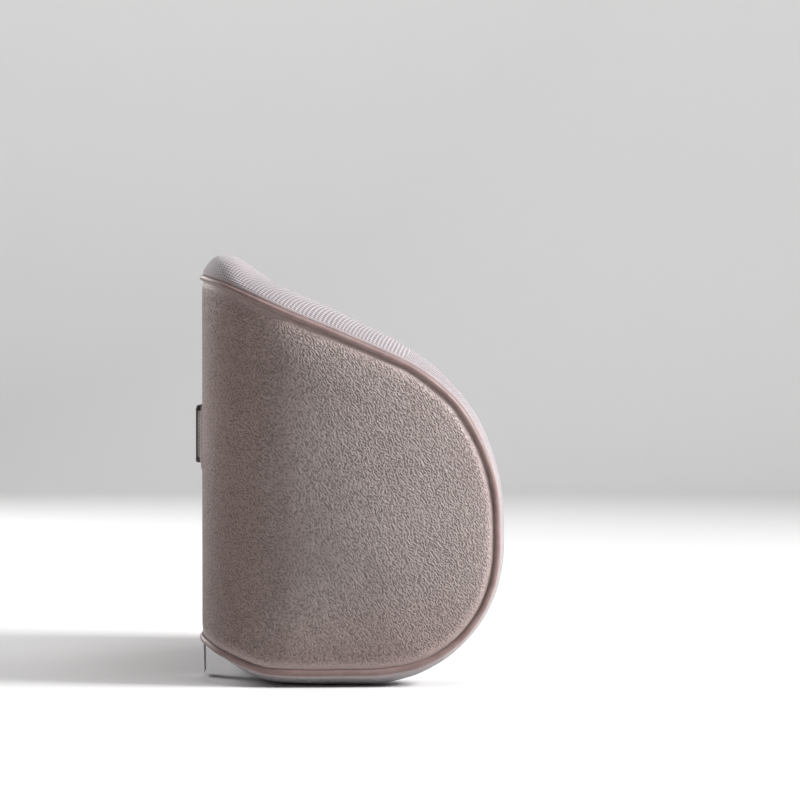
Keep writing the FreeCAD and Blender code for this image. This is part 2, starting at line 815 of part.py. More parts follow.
# ------------------------------------------------------------------ strap and side-release buckle
HALF_STRAP = "Sizes.strap_width / 2"
HALF_BUCKLE = "Sizes.buckle_width / 2"
BUCKLE_LOW = 0.8  # rise of the buckle's underside above the back plane
SOCKET_MOUTH = "6"
SOCKET_END = f"({SOCKET_MOUTH} - Sizes.socket_length)"
PLUG_START = f"({SOCKET_MOUTH} + 1)"
PLUG_END = f"({PLUG_START} + Sizes.plug_base_length)"
BUCKLE_Y = (behind(BUCKLE_LOW), behind(f"{BUCKLE_LOW} + Sizes.buckle_thickness"))
STRAP_Z = "Sizes.strap_height"
SLOT_HALF = f"{HALF_STRAP} + 0.6"


def buckle_outline(low_x, high_x):
    return lambda face: face.rounded_rectangle(
        low_x, f"{STRAP_Z} - {HALF_BUCKLE}", high_x, f"{STRAP_Z} + {HALF_BUCKLE}", "4"
    )


def strap_slot(name, low_x, high_x, low_rise, high_rise):
    """A passage for the webbing through the buckle."""
    return block(
        name, (low_x, high_x), (behind(low_rise), behind(high_rise)), around(STRAP_Z, SLOT_HALF)
    )


socket_body = plate("socket_body", *BUCKLE_Y, buckle_outline(SOCKET_END, SOCKET_MOUTH))
buckle_socket = cut(
    "buckle_socket",
    socket_body,
    block(
        "socket_cavity",
        (f"{SOCKET_MOUTH} - 24", f"{SOCKET_MOUTH} + 5"),
        (behind("3.3"), behind("9.3")),
        around(STRAP_Z, "18"),
    ),
    block(
        "socket_windows",
        (f"{SOCKET_MOUTH} - 22", f"{SOCKET_MOUTH} - 8"),
        (behind("3.3"), behind("9.3")),
        around(STRAP_Z, "40"),
    ),
    strap_slot("socket_slot", f"{SOCKET_END} + 3", f"{SOCKET_END} + 7", "-1", "20"),
    strap_slot("socket_under_bar", f"{SOCKET_END} - 1", f"{SOCKET_END} + 7", "-1", "5.3"),
    strap_slot("socket_over_bar", f"{SOCKET_END} - 1", f"{SOCKET_END} + 7", "7.9", "20"),
)

plug_base = plate("plug_base", *BUCKLE_Y, buckle_outline(PLUG_START, PLUG_END))
plug_tongue = block(
    "plug_tongue",
    (f"{PLUG_START} - 19", f"{PLUG_START} + 2"),
    (behind("4.3"), behind("8.3")),
    around(STRAP_Z, "4"),
)
plug_ladder = cut(
    "plug_ladder",
    plug_base,
    strap_slot("plug_slot_near", f"{PLUG_START} + 5", f"{PLUG_START} + 9", "-1", "20"),
    strap_slot("plug_slot_far", f"{PLUG_START} + 14", f"{PLUG_START} + 18", "-1", "20"),
    strap_slot("plug_under_bars", f"{PLUG_START} + 5", f"{PLUG_END} + 1", "-1", "5.3"),
    strap_slot("plug_over_bars", f"{PLUG_START} + 5", f"{PLUG_END} + 1", "7.9", "20"),
)
buckle_plug = fuse("buckle_plug", plug_ladder, plug_tongue)


def latch_outline(side):
    """One springy arm: straight from the base, then a barb that fills the socket's window."""

    def draw(face):
        corners = (
            (f"{PLUG_START} + 1", "8.5"),
            (f"{PLUG_START} + 1", "12"),
            (f"{SOCKET_MOUTH} - 6.5", "15.5"),
            (f"{SOCKET_MOUTH} - 8.4", "16"),
            (f"{SOCKET_MOUTH} - 8.4", "22.5"),
            (f"{SOCKET_MOUTH} - 13", "22.5"),
            (f"{SOCKET_MOUTH} - 20.5", "16.5"),
            (f"{SOCKET_MOUTH} - 20.5", "12.5"),
            (f"{SOCKET_MOUTH} - 8.4", "12"),
        )
        face.polygon([(x, f"{STRAP_Z} + {side} * {z}") for x, z in corners])

    return draw


buckle_latches = fuse(
    "buckle_latches",
    *[
        plate(f"latch{n}", behind("4.1"), behind("8.5"), latch_outline(side))
        for n, side in enumerate((ABOVE, BELOW))
    ],
)


def webbing(name, *path):
    """Flat webbing on edge: a centre line seen from above, thickened and raised to its width."""
    line = doc.addObject("Sketcher::SketchObject", f"{name}_line")
    line.setExpression(".Placement.Base.z", f"{STRAP_Z} - {HALF_STRAP}")
    route = Outline.__new__(Outline)
    route.sketch = line
    points = [(x, behind(rise)) for x, rise in path]
    spots = [(value(x), value(y)) for x, y in points]
    runs = [route.line(a, b) for a, b in zip(spots, spots[1:])]
    for first, second in zip(runs, runs[1:]):
        route.meet(first, END, second, START)
    for run, (x, y) in zip(runs, points):
        route.place(run, START, x, y)
    route.place(runs[-1], END, *points[-1])
    band = doc.addObject("Part::Offset2D", f"{name}_band")
    band.Source = line
    band.Mode = "Pipe"
    band.Join = "Arc"
    band.setExpression("Value", "Sizes.strap_thickness / 2")
    doc.recompute()
    strap = doc.addObject("Part::Extrusion", name)
    strap.Base = band
    strap.DirMode = "Custom"
    strap.Dir = Vector(0, 0, 1)
    strap.Solid = True
    strap.setExpression("LengthFwd", "Sizes.strap_width")
    return strap


STRAP_END = "(Sizes.anchor_reach - 10)"
FLAT, LAPPED = 1.2, 2.9  # rise of the webbing's middle where it lies single and where it laps itself
strap_left = webbing(
    "strap_left",
    (f"-{STRAP_END}", FLAT),
    (f"{SOCKET_END} - 29", FLAT),
    (f"{SOCKET_END} - 13", 3.0),
    (f"{SOCKET_END} + 5", 3.0),
    (f"{SOCKET_END} + 5", 9.2),
    (f"{SOCKET_END} - 5", 9.2),
    (f"{SOCKET_END} - 15", 4.7),
    (f"{SOCKET_END} - 29", LAPPED),
    (f"{SOCKET_END} - 53", LAPPED),
)
strap_right = webbing(
    "strap_right",
    (STRAP_END, FLAT),
    (f"{PLUG_START} + 53", FLAT),
    (f"{PLUG_START} + 33", 2.6),
    (f"{PLUG_START} + 7", 2.6),
    (f"{PLUG_START} + 7", 8.8),
    (f"{PLUG_START} + 16", 8.8),
    (f"{PLUG_START} + 16", 4.3),
    (f"{PLUG_START} + 33", 4.3),
    (f"{PLUG_START} + 53", LAPPED),
    (f"{PLUG_START} + 93", LAPPED),
)


def anchor(name, side):
    """The patch that sews one end of the strap to the back, hollow where the webbing enters."""
    inner, outer = f"{side} * (Sizes.anchor_reach - Sizes.anchor_length)", f"{side} * Sizes.anchor_reach"
    mouth, floor = f"{side} * (Sizes.anchor_reach - Sizes.anchor_length - 1)", f"{side} * ({STRAP_END} + 1)"
    low, high = (inner, outer) if side == 1 else (outer, inner)
    pocket_x = (mouth, floor) if side == 1 else (floor, mouth)
    patch = plate(
        f"{name}_patch",
        behind("0.05"),
        behind("3.3"),
        lambda face: face.rounded_rectangle(
            low,
            f"{STRAP_Z} - Sizes.anchor_height / 2",
            high,
            f"{STRAP_Z} + Sizes.anchor_height / 2",
            "4",
        ),
    )
    pocket = block(
        f"{name}_pocket", pocket_x, (behind("0.3"), behind("2.1")), around(STRAP_Z, f"{HALF_STRAP} + 0.4")
    )
    return cut(name, patch, pocket)


strap_anchor_left = anchor("strap_anchor_left", -1)
strap_anchor_right = anchor("strap_anchor_right", 1)

# ------------------------------------------------------------------ label hanging from the lower seam
LABEL_TOP = "35.8"
care_label = block(
    "care_label",
    ("-120", "-120 + Sizes.label_width"),
    (behind("0.6"), behind("0.6 + Sizes.label_thickness")),
    (f"{LABEL_TOP} - Sizes.label_length", LABEL_TOP),
)

# ------------------------------------------------------------------ checks and files
NODES = [
    foam_core, inner_liner_front, inner_liner_back, outer_panel, front_center_panel,
    front_wing_panel_left, front_wing_panel_right, edge_piping, piping_cord, *tapes, *coils,
    zip_slider, zip_pull, zip_top_stops, zip_bottom_stop, strap_left, strap_right,
    strap_anchor_left, strap_anchor_right, buckle_socket, buckle_plug, buckle_latches, care_label,
]
doc.recompute()
for item in doc.Objects:
    if "Invalid" in item.State or "Error" in item.State or "Touched" in item.State:
        raise RuntimeError(f"{item.Name} didn't recompute: {item.State}")
    shape = getattr(item, "Shape", None)
    if shape is not None and (shape.isNull() or not shape.isValid()):
        raise RuntimeError(f"{item.Name} has no valid shape")
os.makedirs(OUT, exist_ok=True)
for node in NODES:
    node.Label = node.Name
    if not node.Shape.Solids:
        raise RuntimeError(f"{node.Name} is not solid")
    node.Shape.exportStep(f"{OUT}/{node.Label}.step")
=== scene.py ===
"""Winged lumbar cushion, dressed: leatherette back and sides, mesh front, corded seam, zip, strap and buckle.

Lengths are in millimetres until a mesh is made.  A point of the outer wall is (a, z) and a point of the
hollow's wall is (b, z), where a and b run round the wall from the middle plane.
"""

import math

import bmesh
import bpy
import numpy as np
from mathutils import Matrix, Vector, noise


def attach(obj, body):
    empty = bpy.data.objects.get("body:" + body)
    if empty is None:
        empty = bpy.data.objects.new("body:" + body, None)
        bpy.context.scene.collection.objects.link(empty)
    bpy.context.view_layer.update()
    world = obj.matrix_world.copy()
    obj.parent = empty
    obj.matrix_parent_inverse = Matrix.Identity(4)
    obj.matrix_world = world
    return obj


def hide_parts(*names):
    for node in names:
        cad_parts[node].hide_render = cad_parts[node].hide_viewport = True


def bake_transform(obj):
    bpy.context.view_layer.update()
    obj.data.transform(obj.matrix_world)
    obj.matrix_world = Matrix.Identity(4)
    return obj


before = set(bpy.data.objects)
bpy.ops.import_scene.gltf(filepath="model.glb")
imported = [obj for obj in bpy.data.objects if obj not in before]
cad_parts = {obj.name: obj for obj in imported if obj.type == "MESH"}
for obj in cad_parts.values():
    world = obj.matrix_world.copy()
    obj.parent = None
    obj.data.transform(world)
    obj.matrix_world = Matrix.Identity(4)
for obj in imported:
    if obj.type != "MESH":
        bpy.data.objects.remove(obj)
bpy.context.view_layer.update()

MM = 0.001
ROOT, PLUG_BODY = "cushion", "buckle_plug_body"


def travelled(points):
    """How far along a line of points each one lies."""
    return np.r_[0, np.cumsum(np.linalg.norm(np.diff(points, axis=0), axis=1))]


def add_object(name, data):
    obj = bpy.data.objects.new(name, data)
    bpy.context.collection.objects.link(obj)
    return obj


# -------- the block's outlines
HEIGHT, BACK = 330.0, 112.0
CREST, SHOULDER = (16.0, 292.0, 38.0), (71.0, 124.0, 165.0)  # depth, height, radius
NOSE, HEEL = (130.0, 106.0, 106.0), (65.0, 75.0, 75.0)
HEEL_ANGLE = 30.0
HALF_WIDTH, CORNER_R, SIDE_R = 220.0, 75.0, 900.0
PAD_DEPTH, HOLLOW_FLAT, HOLLOW_R, SPLAY = 80.0, 64.0, 88.0, math.radians(10)
ARC_STEPS = 90


class SideOutline:
    """The D shape seen from the side, from the rear of the top, round the nose, to the rear of the bottom."""

    def __init__(self):
        run, rise = SHOULDER[0] - CREST[0], SHOULDER[1] - CREST[1]
        bend = math.acos((CREST[2] - SHOULDER[2]) / math.hypot(run, rise))
        tilt = math.degrees(math.atan2(rise, run) + bend)
        spans = (CREST, 90, tilt), (SHOULDER, tilt, 0), (NOSE, 0, -90), (HEEL, -90, -90 - HEEL_ANGLE)
        points, angles = [(0.0, HEIGHT)], [90.0]
        for (depth, height, radius), first, last in spans:
            for degrees in np.linspace(first, last, ARC_STEPS):
                turn = math.radians(degrees)
                points.append((depth + radius * math.cos(turn), height + radius * math.sin(turn)))
                angles.append(degrees)
        last_u, last_z = points[-1]
        points.append((0.0, last_z + last_u * math.tan(math.radians(HEEL_ANGLE))))
        angles.append(angles[-1])
        points, angles = np.array(points), np.array(angles)
        steps = np.hypot(*np.diff(points, axis=0).T)
        run, keep = np.r_[0, np.cumsum(steps)], np.r_[True, steps > 1e-6]
        self.run, self.points, self.angles = run[keep], points[keep], angles[keep]
        self.tip = int(np.argmax(self.points[:, 0]))

    def at(self, run):
        """Depth, height and outward normal at a distance along the outline."""
        turn = np.radians(np.interp(run, self.run, self.angles))
        u, z = (np.interp(run, self.run, self.points[:, i]) for i in range(2))
        return u, z, np.cos(turn), np.sin(turn)

    def top_run(self, depth):
        part = slice(0, self.tip + 1)
        return np.interp(depth, self.points[part, 0], self.run[part])

    def bottom_run(self, depth):
        return np.interp(depth, self.points[self.tip :, 0][::-1], self.run[self.tip :][::-1])

    def run_at_angle(self, degrees):
        return float(np.interp(-degrees, -self.angles, self.run))


side = SideOutline()


class Wall:
    """An upright wall of the right half.  place() gives x, y, the normal's x and y, and the depth's rate."""

    def swollen(self, point, swell):
        """Points (x, y, z) of wall coordinates, moved out of the wall by swell."""
        x, y, nx, ny, _ = self.place(point[..., 0])
        return np.stack([x + nx * swell, y + ny * swell, point[..., 1]], -1)


class OuterWall(Wall):
    """Back, corner and side of the plan."""

    flat, bend = HALF_WIDTH - CORNER_R, CORNER_R * math.pi / 2

    def place(self, a):
        a = np.asarray(a, float)
        turn = np.clip((a - self.flat) / CORNER_R, 0, math.pi / 2)
        sweep = np.maximum(a - self.flat - self.bend, 0) / SIDE_R
        x = np.minimum(a, self.flat) + CORNER_R * np.sin(turn) - SIDE_R * (1 - np.cos(sweep))
        y = BACK - CORNER_R + CORNER_R * np.cos(turn) - SIDE_R * np.sin(sweep)
        along = turn + sweep
        return x, y, np.sin(along), np.cos(along), np.sin(np.minimum(along, math.pi / 2)) * np.cos(sweep)

    def of_depth(self, depth):
        sweep = np.arcsin(np.clip((depth - CORNER_R) / SIDE_R, 0, 1))
        turn = np.arccos(np.clip(1 - depth / CORNER_R, 0, 1))
        return self.flat + CORNER_R * turn + SIDE_R * sweep


class HollowWall(Wall):
    """The wall that faces the waist.  Its normal points out of the foam, into the hollow."""

    bend = HOLLOW_R * (math.pi / 2 - SPLAY)

    def place(self, b):
        b = np.asarray(b, float)
        turn = np.clip((b - HOLLOW_FLAT) / HOLLOW_R, 0, math.pi / 2 - SPLAY)
        past = np.maximum(b - HOLLOW_FLAT - self.bend, 0)
        x = np.minimum(b, HOLLOW_FLAT) + HOLLOW_R * np.sin(turn) + past * math.sin(SPLAY)
        y = BACK - PAD_DEPTH - HOLLOW_R * (1 - np.cos(turn)) - past * math.cos(SPLAY)
        return x, y, -np.sin(turn), -np.cos(turn), np.sin(turn)

    def of_depth(self, depth):
        start = PAD_DEPTH + HOLLOW_R * (1 - math.sin(SPLAY))
        return HOLLOW_FLAT + self.bend + (depth - start) / math.cos(SPLAY)


outer_wall, hollow_wall = OuterWall(), HollowWall()

# -------- grid layout
COLS_CENTRE, COLS_SIDE, COLS_CAP, ROWS = 27, 72, 18, 80
JUNCTION = 165.0  # depth where the straight columns end and the nose cap begins
CAP_TOP, CAP_BOTTOM = 35.0, -45.0  # directions of the nose cap's corners
SEAM_A, SEAM_B = 95.0, 95.6  # where the centre panel meets a wing panel, on either wall
ZIP_Z, ZIP_HALF, ZIP_SLOT = 76.0, 135.0, 4.5
RING_OUT, RING_IN = 13, 14  # steps from the seam to the rim, and from the rim to the hollow
HOLLOW_INSET = 25.0
# depth, and how far the corded seam lies in from the outline there
SEAM_TOP = (
    (0, 10, 20, 30, 52, 80, 109, 140, 155, 171, 205, 232),
    (14.5, 18.5, 22, 23.5, 22.3, 20.3, 18.2, 16.6, 15.6, 12.8, 7, 5.5),
)
SEAM_BOTTOM = (232, 210, 178, 150, 117, 88, 60, 32, 12, 0), (5.5, 5.5, 8, 11, 11.3, 10.8, 11.5, 10, 7, 8)
# depth, and how far the mesh stands proud of the block's top
MESH_PROUD = (
    (0, 9, 18, 30, 42, 60, 100, 140, 165, 190, 215, 234),
    (9.8, 10.5, 9.0, 2.4, -1.6, -2.6, -1.7, -1.0, -0.9, 0.8, 2.0, 0.0),
)

COLS = COLS_CENTRE + COLS_SIDE
LAST = COLS + COLS_CAP
HALF_LOOP = 2 * LAST + ROWS


def smooth_step(x):
    x = np.clip(x, 0, 1)
    return x * x * (3 - 2 * x)


def seam_inset(run):
    """How far the corded seam lies in from the outline: wide over the slope, narrow at the nose."""
    runs = np.r_[side.top_run(SEAM_TOP[0]), side.bottom_run(SEAM_BOTTOM[0])]
    return np.interp(run, runs, SEAM_TOP[1] + SEAM_BOTTOM[1])


class HalfLoop:
    """The right half of the boundary round one wall: wall coordinate, height, flat normal and outline run."""

    def __init__(self, wall, seam, inset):
        junction = float(wall.of_depth(JUNCTION))
        centre, rest = np.linspace(0, seam, COLS_CENTRE + 1), np.linspace(seam, junction, COLS_SIDE + 1)
        along = np.r_[centre, rest[1:]]
        if wall is outer_wall:
            along[np.argmin(abs(along - ZIP_HALF))] = ZIP_HALF
        depth = BACK - wall.place(along)[1]
        top, bottom = side.top_run(depth), side.bottom_run(depth)
        high, low = side.run_at_angle(CAP_TOP), side.run_at_angle(CAP_BOTTOM)
        spans = (top[-1], high, COLS_CAP), (high, low, ROWS), (low, bottom[-1], COLS_CAP)
        cap = np.concatenate([np.linspace(a, b, count + 1)[1:] for a, b, count in spans])[:-1]
        self.run = np.r_[top, cap, bottom[::-1]]
        u, z, nu, nz = side.at(self.run)
        self.coord = np.r_[along, wall.of_depth(side.at(cap)[0]), along[::-1]]
        rate = wall.place(self.coord)[4]
        flat = np.stack([nu * rate, nz], 1)
        self.normal = flat / np.linalg.norm(flat, axis=1)[:, None]
        self.edge = np.stack([self.coord, z], 1)
        self.outline = np.stack([u, z], 1)
        self.inset = inset(self.run) if callable(inset) else np.full(len(self.run), inset)
        self.seam = self.edge - self.normal * self.inset[:, None]


outer_loop = HalfLoop(outer_wall, SEAM_A, seam_inset)
hollow_loop = HalfLoop(hollow_wall, SEAM_B, HOLLOW_INSET)


def row_shares(loop):
    """Heights of the rows as shares of the column, with two rows exactly at the zip's opening."""
    shares = np.linspace(0, 1, ROWS + 1)
    if loop is not outer_loop:
        return shares
    low, high = loop.seam[-1, 1], loop.seam[0, 1]
    marks = [(ZIP_Z + s * ZIP_SLOT - low) / (high - low) for s in (-1, 1)]
    rows = [round(m * ROWS) for m in marks]
    return np.interp(np.arange(ROWS + 1), [0, *rows, ROWS], [0, *marks, 1])


def fill(loop):
    """Wall coordinates (column, row, 2) inside a half loop: straight columns, then a patch over the nose."""
    shares = row_shares(loop)[:, None]
    seam = loop.seam
    grid = np.zeros((LAST + 1, ROWS + 1, 2))
    for column in range(COLS + 1):
        top, bottom = seam[column], seam[HALF_LOOP - column]
        grid[column] = bottom + (top - bottom) * shares
    left, right = grid[COLS].copy(), seam[LAST : LAST + ROWS + 1][::-1]
    for step in range(COLS_CAP + 1):
        s = step / COLS_CAP
        top, bottom = seam[COLS + step], seam[HALF_LOOP - COLS - step]
        corners = (1 - s) * ((1 - shares) * left[0] + shares * left[-1])
        corners = corners + s * ((1 - shares) * right[0] + shares * right[-1])
        grid[COLS + step] = (1 - shares) * bottom + shares * top + (1 - s) * left + s * right - corners
    return grid


def from_line(points, line, times=4):
    """Distance from each point to a polyline, whose corners are joined by extra points."""
    steps = np.arange(len(line) * times - times + 1) / times
    line = np.stack([np.interp(steps, np.arange(len(line)), line[:, i]) for i in range(2)], 1)
    flat = points.reshape(-1, 2)
    best = np.full(len(flat), np.inf)
    for part in np.array_split(line, len(line) // 64):
        best = np.minimum(best, np.linalg.norm(flat[:, None] - part[None], axis=2).min(1))
    return best.reshape(points.shape[:-1])


outer_grid, hollow_grid = fill(outer_loop), fill(hollow_loop)
outer_away, hollow_away = from_line(outer_grid, outer_loop.seam), from_line(hollow_grid, hollow_loop.seam)

# -------- how the walls swell
ROLL_BACK, ROLL_SIDE = 1.0, 4.0  # how far the leatherette sinks towards the seam
ROLL_REACH_BACK, ROLL_REACH_SIDE = 14.0, 34.0
CORNER_A = 165.0  # where the back begins to turn into the side
CROWN_SIDE, CROWN_REACH = 10.0, 110.0
EASE = 26.0  # how gently the rear corners run out into the back and the sides
LUMBAR, LUMBAR_Z, LUMBAR_SIZE = 16.0, 142.0, (112.0, 118.0)  # the crown behind the waist
WING, WING_PLACE, WING_SIZE = 5.0, (222.0, 118.0), (42.0, 85.0)


def flank(a):
    """0 on the flat back, 1 on the sides."""
    return smooth_step((a - CORNER_A) / 95.0)


def outer_swell(a, away):
    side_share = flank(a)
    roll = ROLL_BACK + (ROLL_SIDE - ROLL_BACK) * side_share
    reach = ROLL_REACH_BACK + (ROLL_REACH_SIDE - ROLL_REACH_BACK) * side_share
    sink = roll * np.clip(1 - away / reach, 0, 1) ** 2
    dome = 1 - (1 - np.minimum(away / CROWN_REACH, 1)) ** 2
    crown = CROWN_SIDE * smooth_step((a - CORNER_A) / 190.0) * dome
    bend = a - outer_wall.flat
    arc = np.tanh(bend / EASE) - np.tanh((bend - outer_wall.bend) / EASE)
    eased = 0.25 * EASE**2 / CORNER_R * arc * smooth_step(away / 45.0) * smooth_step((a - CORNER_A) / 70.0)
    return crown - eased - sink


def hollow_swell(b, z, away):
    radius = (b / LUMBAR_SIZE[0]) ** 2 + ((z - LUMBAR_Z) / LUMBAR_SIZE[1]) ** 2
    lumbar = LUMBAR * np.clip(1 - radius, 0, 1) ** 1.6
    far_b, far_z = (b - WING_PLACE[0]) / WING_SIZE[0], (z - WING_PLACE[1]) / WING_SIZE[1]
    return lumbar + WING * np.exp(-(far_b**2) - far_z**2) * smooth_step(away / 28.0)


outer_points = outer_wall.swollen(outer_grid, outer_swell(outer_grid[..., 0], outer_away))
hollow_points = hollow_wall.swollen(
    hollow_grid, hollow_swell(hollow_grid[..., 0], hollow_grid[..., 1], hollow_away)
)


def ring():
    """The rounded rim between the two walls: (boundary, step, 3), and the unrolled wall coordinates."""
    first = np.linspace(0, 1, RING_OUT + 1) ** 1.35 * math.pi / 2
    second = np.linspace(0, math.pi / 2, RING_IN + 1)[1:]
    share = np.r_[0.5 * (1 - np.cos(first)), 0.5 + 0.5 * np.sin(second)]
    outer_part = np.r_[1 - np.sin(first), np.zeros(RING_IN)]
    inner_part = np.r_[np.zeros(RING_OUT + 1), 1 - np.cos(second)]
    inset = outer_loop.inset[:, None] * outer_part + hollow_loop.inset[:, None] * inner_part
    share = np.broadcast_to(share, inset.shape)
    roll = -(ROLL_BACK + (ROLL_SIDE - ROLL_BACK) * flank(outer_loop.coord))[:, None]
    sink = roll * np.clip(1 - 2 * share, 0, 1)
    outer_side, inner_side = (
        wall.swollen(loop.edge[:, None] - loop.normal[:, None] * inset[..., None], moved)
        for wall, loop, moved in ((outer_wall, outer_loop, sink), (hollow_wall, hollow_loop, 0 * sink))
    )
    points = outer_side + (inner_side - outer_side) * share[..., None]
    # keep the rim on the side outline between its two ends
    run = outer_loop.run[:, None] + (hollow_loop.run - outer_loop.run)[:, None] * share
    u, z, nu, nz = side.at(run)
    start, end = outer_loop.outline[:, None], hollow_loop.outline[:, None]
    chord = start + (end - start) * share[..., None]
    points[..., 1] -= u - chord[..., 0]
    points[..., 2] += z - chord[..., 1]
    # the mesh stands a little proud over the crest and the shoulder
    proud = np.interp(u, *MESH_PROUD) * (nz > 0)
    lift = proud * np.sin(math.pi * share**0.6) ** 0.7
    points[..., 1] -= nu * lift
    points[..., 2] += nz * lift
    across = np.linalg.norm(np.diff(points, axis=1), axis=2)
    away = np.concatenate([np.zeros((len(points), 1)), np.cumsum(across, axis=1)], axis=1)
    unrolled = away[:, -1:] - away
    flat = hollow_loop.seam[:, None] + hollow_loop.normal[:, None] * unrolled[..., None]
    return points, flat, away


ring_points, ring_flat, ring_away = ring()

# -------- one closed skin, both halves
LOOP = 2 * HALF_LOOP
WIDTH = 2 * LAST + 1
HOLLOW_AWAY = 45  # how far the hollow's edge lies from the corded seam
PANEL_OUTER, PANEL_CENTRE, PANEL_RIGHT, PANEL_LEFT = range(4)
RING_STEPS = RING_OUT + RING_IN


def whole_loop(values, flip):
    """Right half of a loop, then the mirrored left half, leaving out the two shared ends."""
    return np.concatenate([values, (values[1:-1] * flip)[::-1]])


def both_halves(outer, hollow, rim, flip, *shape):
    """Values of the whole skin, in the order of its points; flip is what mirroring does to a value."""
    walls = [np.concatenate([(grid[1:] * flip)[::-1], grid]) for grid in (outer, hollow)]
    return np.concatenate([part.reshape(-1, *shape) for part in (*walls, whole_loop(rim, flip)[:, 1:-1])])


skin_points = both_halves(outer_points, hollow_points, ring_points, np.array([-1.0, 1.0, 1.0]), 3)
skin_flat = both_halves(outer_grid, hollow_grid, ring_flat, np.array([-1.0, 1.0]), 2)
skin_away = both_halves(outer_away, hollow_away + HOLLOW_AWAY, ring_away, 1)


def boundary_cell(index):
    """The grid column and row of a boundary point of the whole loop."""
    left = index > HALF_LOOP
    k = LOOP - index if left else index
    if k <= LAST:
        column, row = k, ROWS
    elif k <= LAST + ROWS:
        column, row = LAST, ROWS - (k - LAST)
    else:
        column, row = HALF_LOOP - k, 0
    return (LAST - column if left else LAST + column), row


grid_size = WIDTH * (ROWS + 1)
outer_ids = np.arange(grid_size).reshape(WIDTH, ROWS + 1)
hollow_ids = outer_ids + grid_size
ring_ids = np.zeros((LOOP, RING_STEPS + 1), int)
ring_ids[:, 1:-1] = 2 * grid_size + np.arange(LOOP * (RING_STEPS - 1)).reshape(LOOP, -1)
for index in range(LOOP):
    cell = boundary_cell(index)
    ring_ids[index, 0], ring_ids[index, -1] = outer_ids[cell], hollow_ids[cell]


def panel_of(column_a, column_b):
    if max(abs(column_a - LAST), abs(column_b - LAST)) <= COLS_CENTRE:
        return PANEL_CENTRE
    return PANEL_RIGHT if column_a + column_b > 2 * LAST else PANEL_LEFT


faces, panels, slot_faces = [], [], []
slot_rows = np.flatnonzero(abs(outer_points[0, :, 2] - ZIP_Z) <= ZIP_SLOT + 0.01)
slot_columns = np.flatnonzero(outer_grid[: COLS + 1, 0, 0] <= ZIP_HALF + 0.01)
for column in range(WIDTH - 1):
    for row in range(ROWS):
        corners = [(column, row), (column + 1, row), (column + 1, row + 1), (column, row + 1)]
        outer_face = [outer_ids[c] for c in reversed(corners)]
        if abs(column + 0.5 - LAST) < slot_columns[-1] and slot_rows[0] <= row < slot_rows[-1]:
            slot_faces.append(outer_face)
        else:
            faces.append(outer_face)
            panels.append(PANEL_OUTER)
        faces.append([hollow_ids[c] for c in corners])
        panels.append(panel_of(column, column + 1))
for index in range(LOOP):
    following = (index + 1) % LOOP
    here, there = ring_ids[index], ring_ids[following]
    for step in range(RING_STEPS):
        faces.append([here[step], here[step + 1], there[step + 1], there[step]])
    panels += [panel_of(boundary_cell(index)[0], boundary_cell(following)[0])] * RING_STEPS
faces, panels = np.array(faces), np.array(panels)


def vertex_normals(points, quads):
    """Area-weighted vertex normals."""
    normal = np.cross(points[quads[:, 2]] - points[quads[:, 0]], points[quads[:, 3]] - points[quads[:, 1]])
    total = np.zeros_like(points)
    for corner in range(4):
        np.add.at(total, quads[:, corner], normal)
    return total / np.maximum(np.linalg.norm(total, axis=1), 1e-9)[:, None]


# -------- fine shape of the cover
def swirl(points, scale, seed):
    """Smooth noise, one value a point, for lengths of about scale."""
    shift = Vector((seed, seed * 1.7, seed * 0.3))
    return np.array([noise.noise(Vector(p) / scale + shift) for p in points])


def hump(distance, width):
    return np.exp(-((distance / width) ** 2))


skin_normals = vertex_normals(skin_points, faces)
leather = np.zeros(len(skin_points), bool)
leather[:grid_size] = True
leather[ring_ids[:, 0]] = False
sides_only = np.where(leather, flank(np.abs(skin_flat[:, 0])), 1.0)

fold = -0.7 * hump(skin_away, 2.6)  # the cord pulls both covers down
fold += np.where(leather, 0, 1.0 * hump(skin_away - 4.9, 1.9))  # turned edge of the mesh
pucker = swirl(skin_points, 6.5, 3.1) * np.exp(-skin_away / 7.5)
fold += 0.55 * pucker * sides_only
for depth, size, seed, clear in ((0.8, 58.0, 8.4, 20), (0.25, 21.0, 5.2, 12)):
    fold += depth * swirl(skin_points, size, seed) * sides_only * smooth_step(skin_away / clear)

# the flat seams between the three mesh panels, each a shallow valley
hollow_part = slice(grid_size, 2 * grid_size)
from_seam = np.full(len(skin_points), 99.0)
from_seam[hollow_part] = np.abs(np.abs(skin_flat[hollow_part, 0]) - SEAM_B)
from_seam[ring_ids[:, 1:-1]] = np.abs(np.abs(whole_loop(outer_loop.coord, 1)) - SEAM_A)[:, None]
for depth, distance in ((-1.2, from_seam), (0.35, from_seam - 5.5)):
    fold += depth * hump(distance, 2.2) * smooth_step(skin_away / 8)
skin = skin_points + skin_normals * fold[:, None]

# the middle of the underside settles onto the seat
low_down = smooth_step((50 - skin_points[:, 2]) / 30) * smooth_step((150 - np.abs(skin_points[:, 0])) / 60)
skin[:, 2] -= 2.3 * low_down * np.clip(-skin_normals[:, 2], 0, 1)
skin[:, 2] = np.maximum(skin[:, 2], 0.05)
skin_normals = vertex_normals(skin, faces)


def make_mesh(name, points, quads, smooth=True):
    mesh = bpy.data.meshes.new(name)
    mesh.from_pydata((np.asarray(points) * MM).tolist(), [], [list(map(int, q)) for q in quads])
    if smooth:
        mesh.shade_smooth()
    return add_object(name, mesh)


def thicken(obj, amount):
    """Gives a sheet its thickness, inwards, in millimetres."""
    solid = obj.modifiers.new("thickness", "SOLIDIFY")
    solid.thickness, solid.offset = amount * MM, -1
    return obj


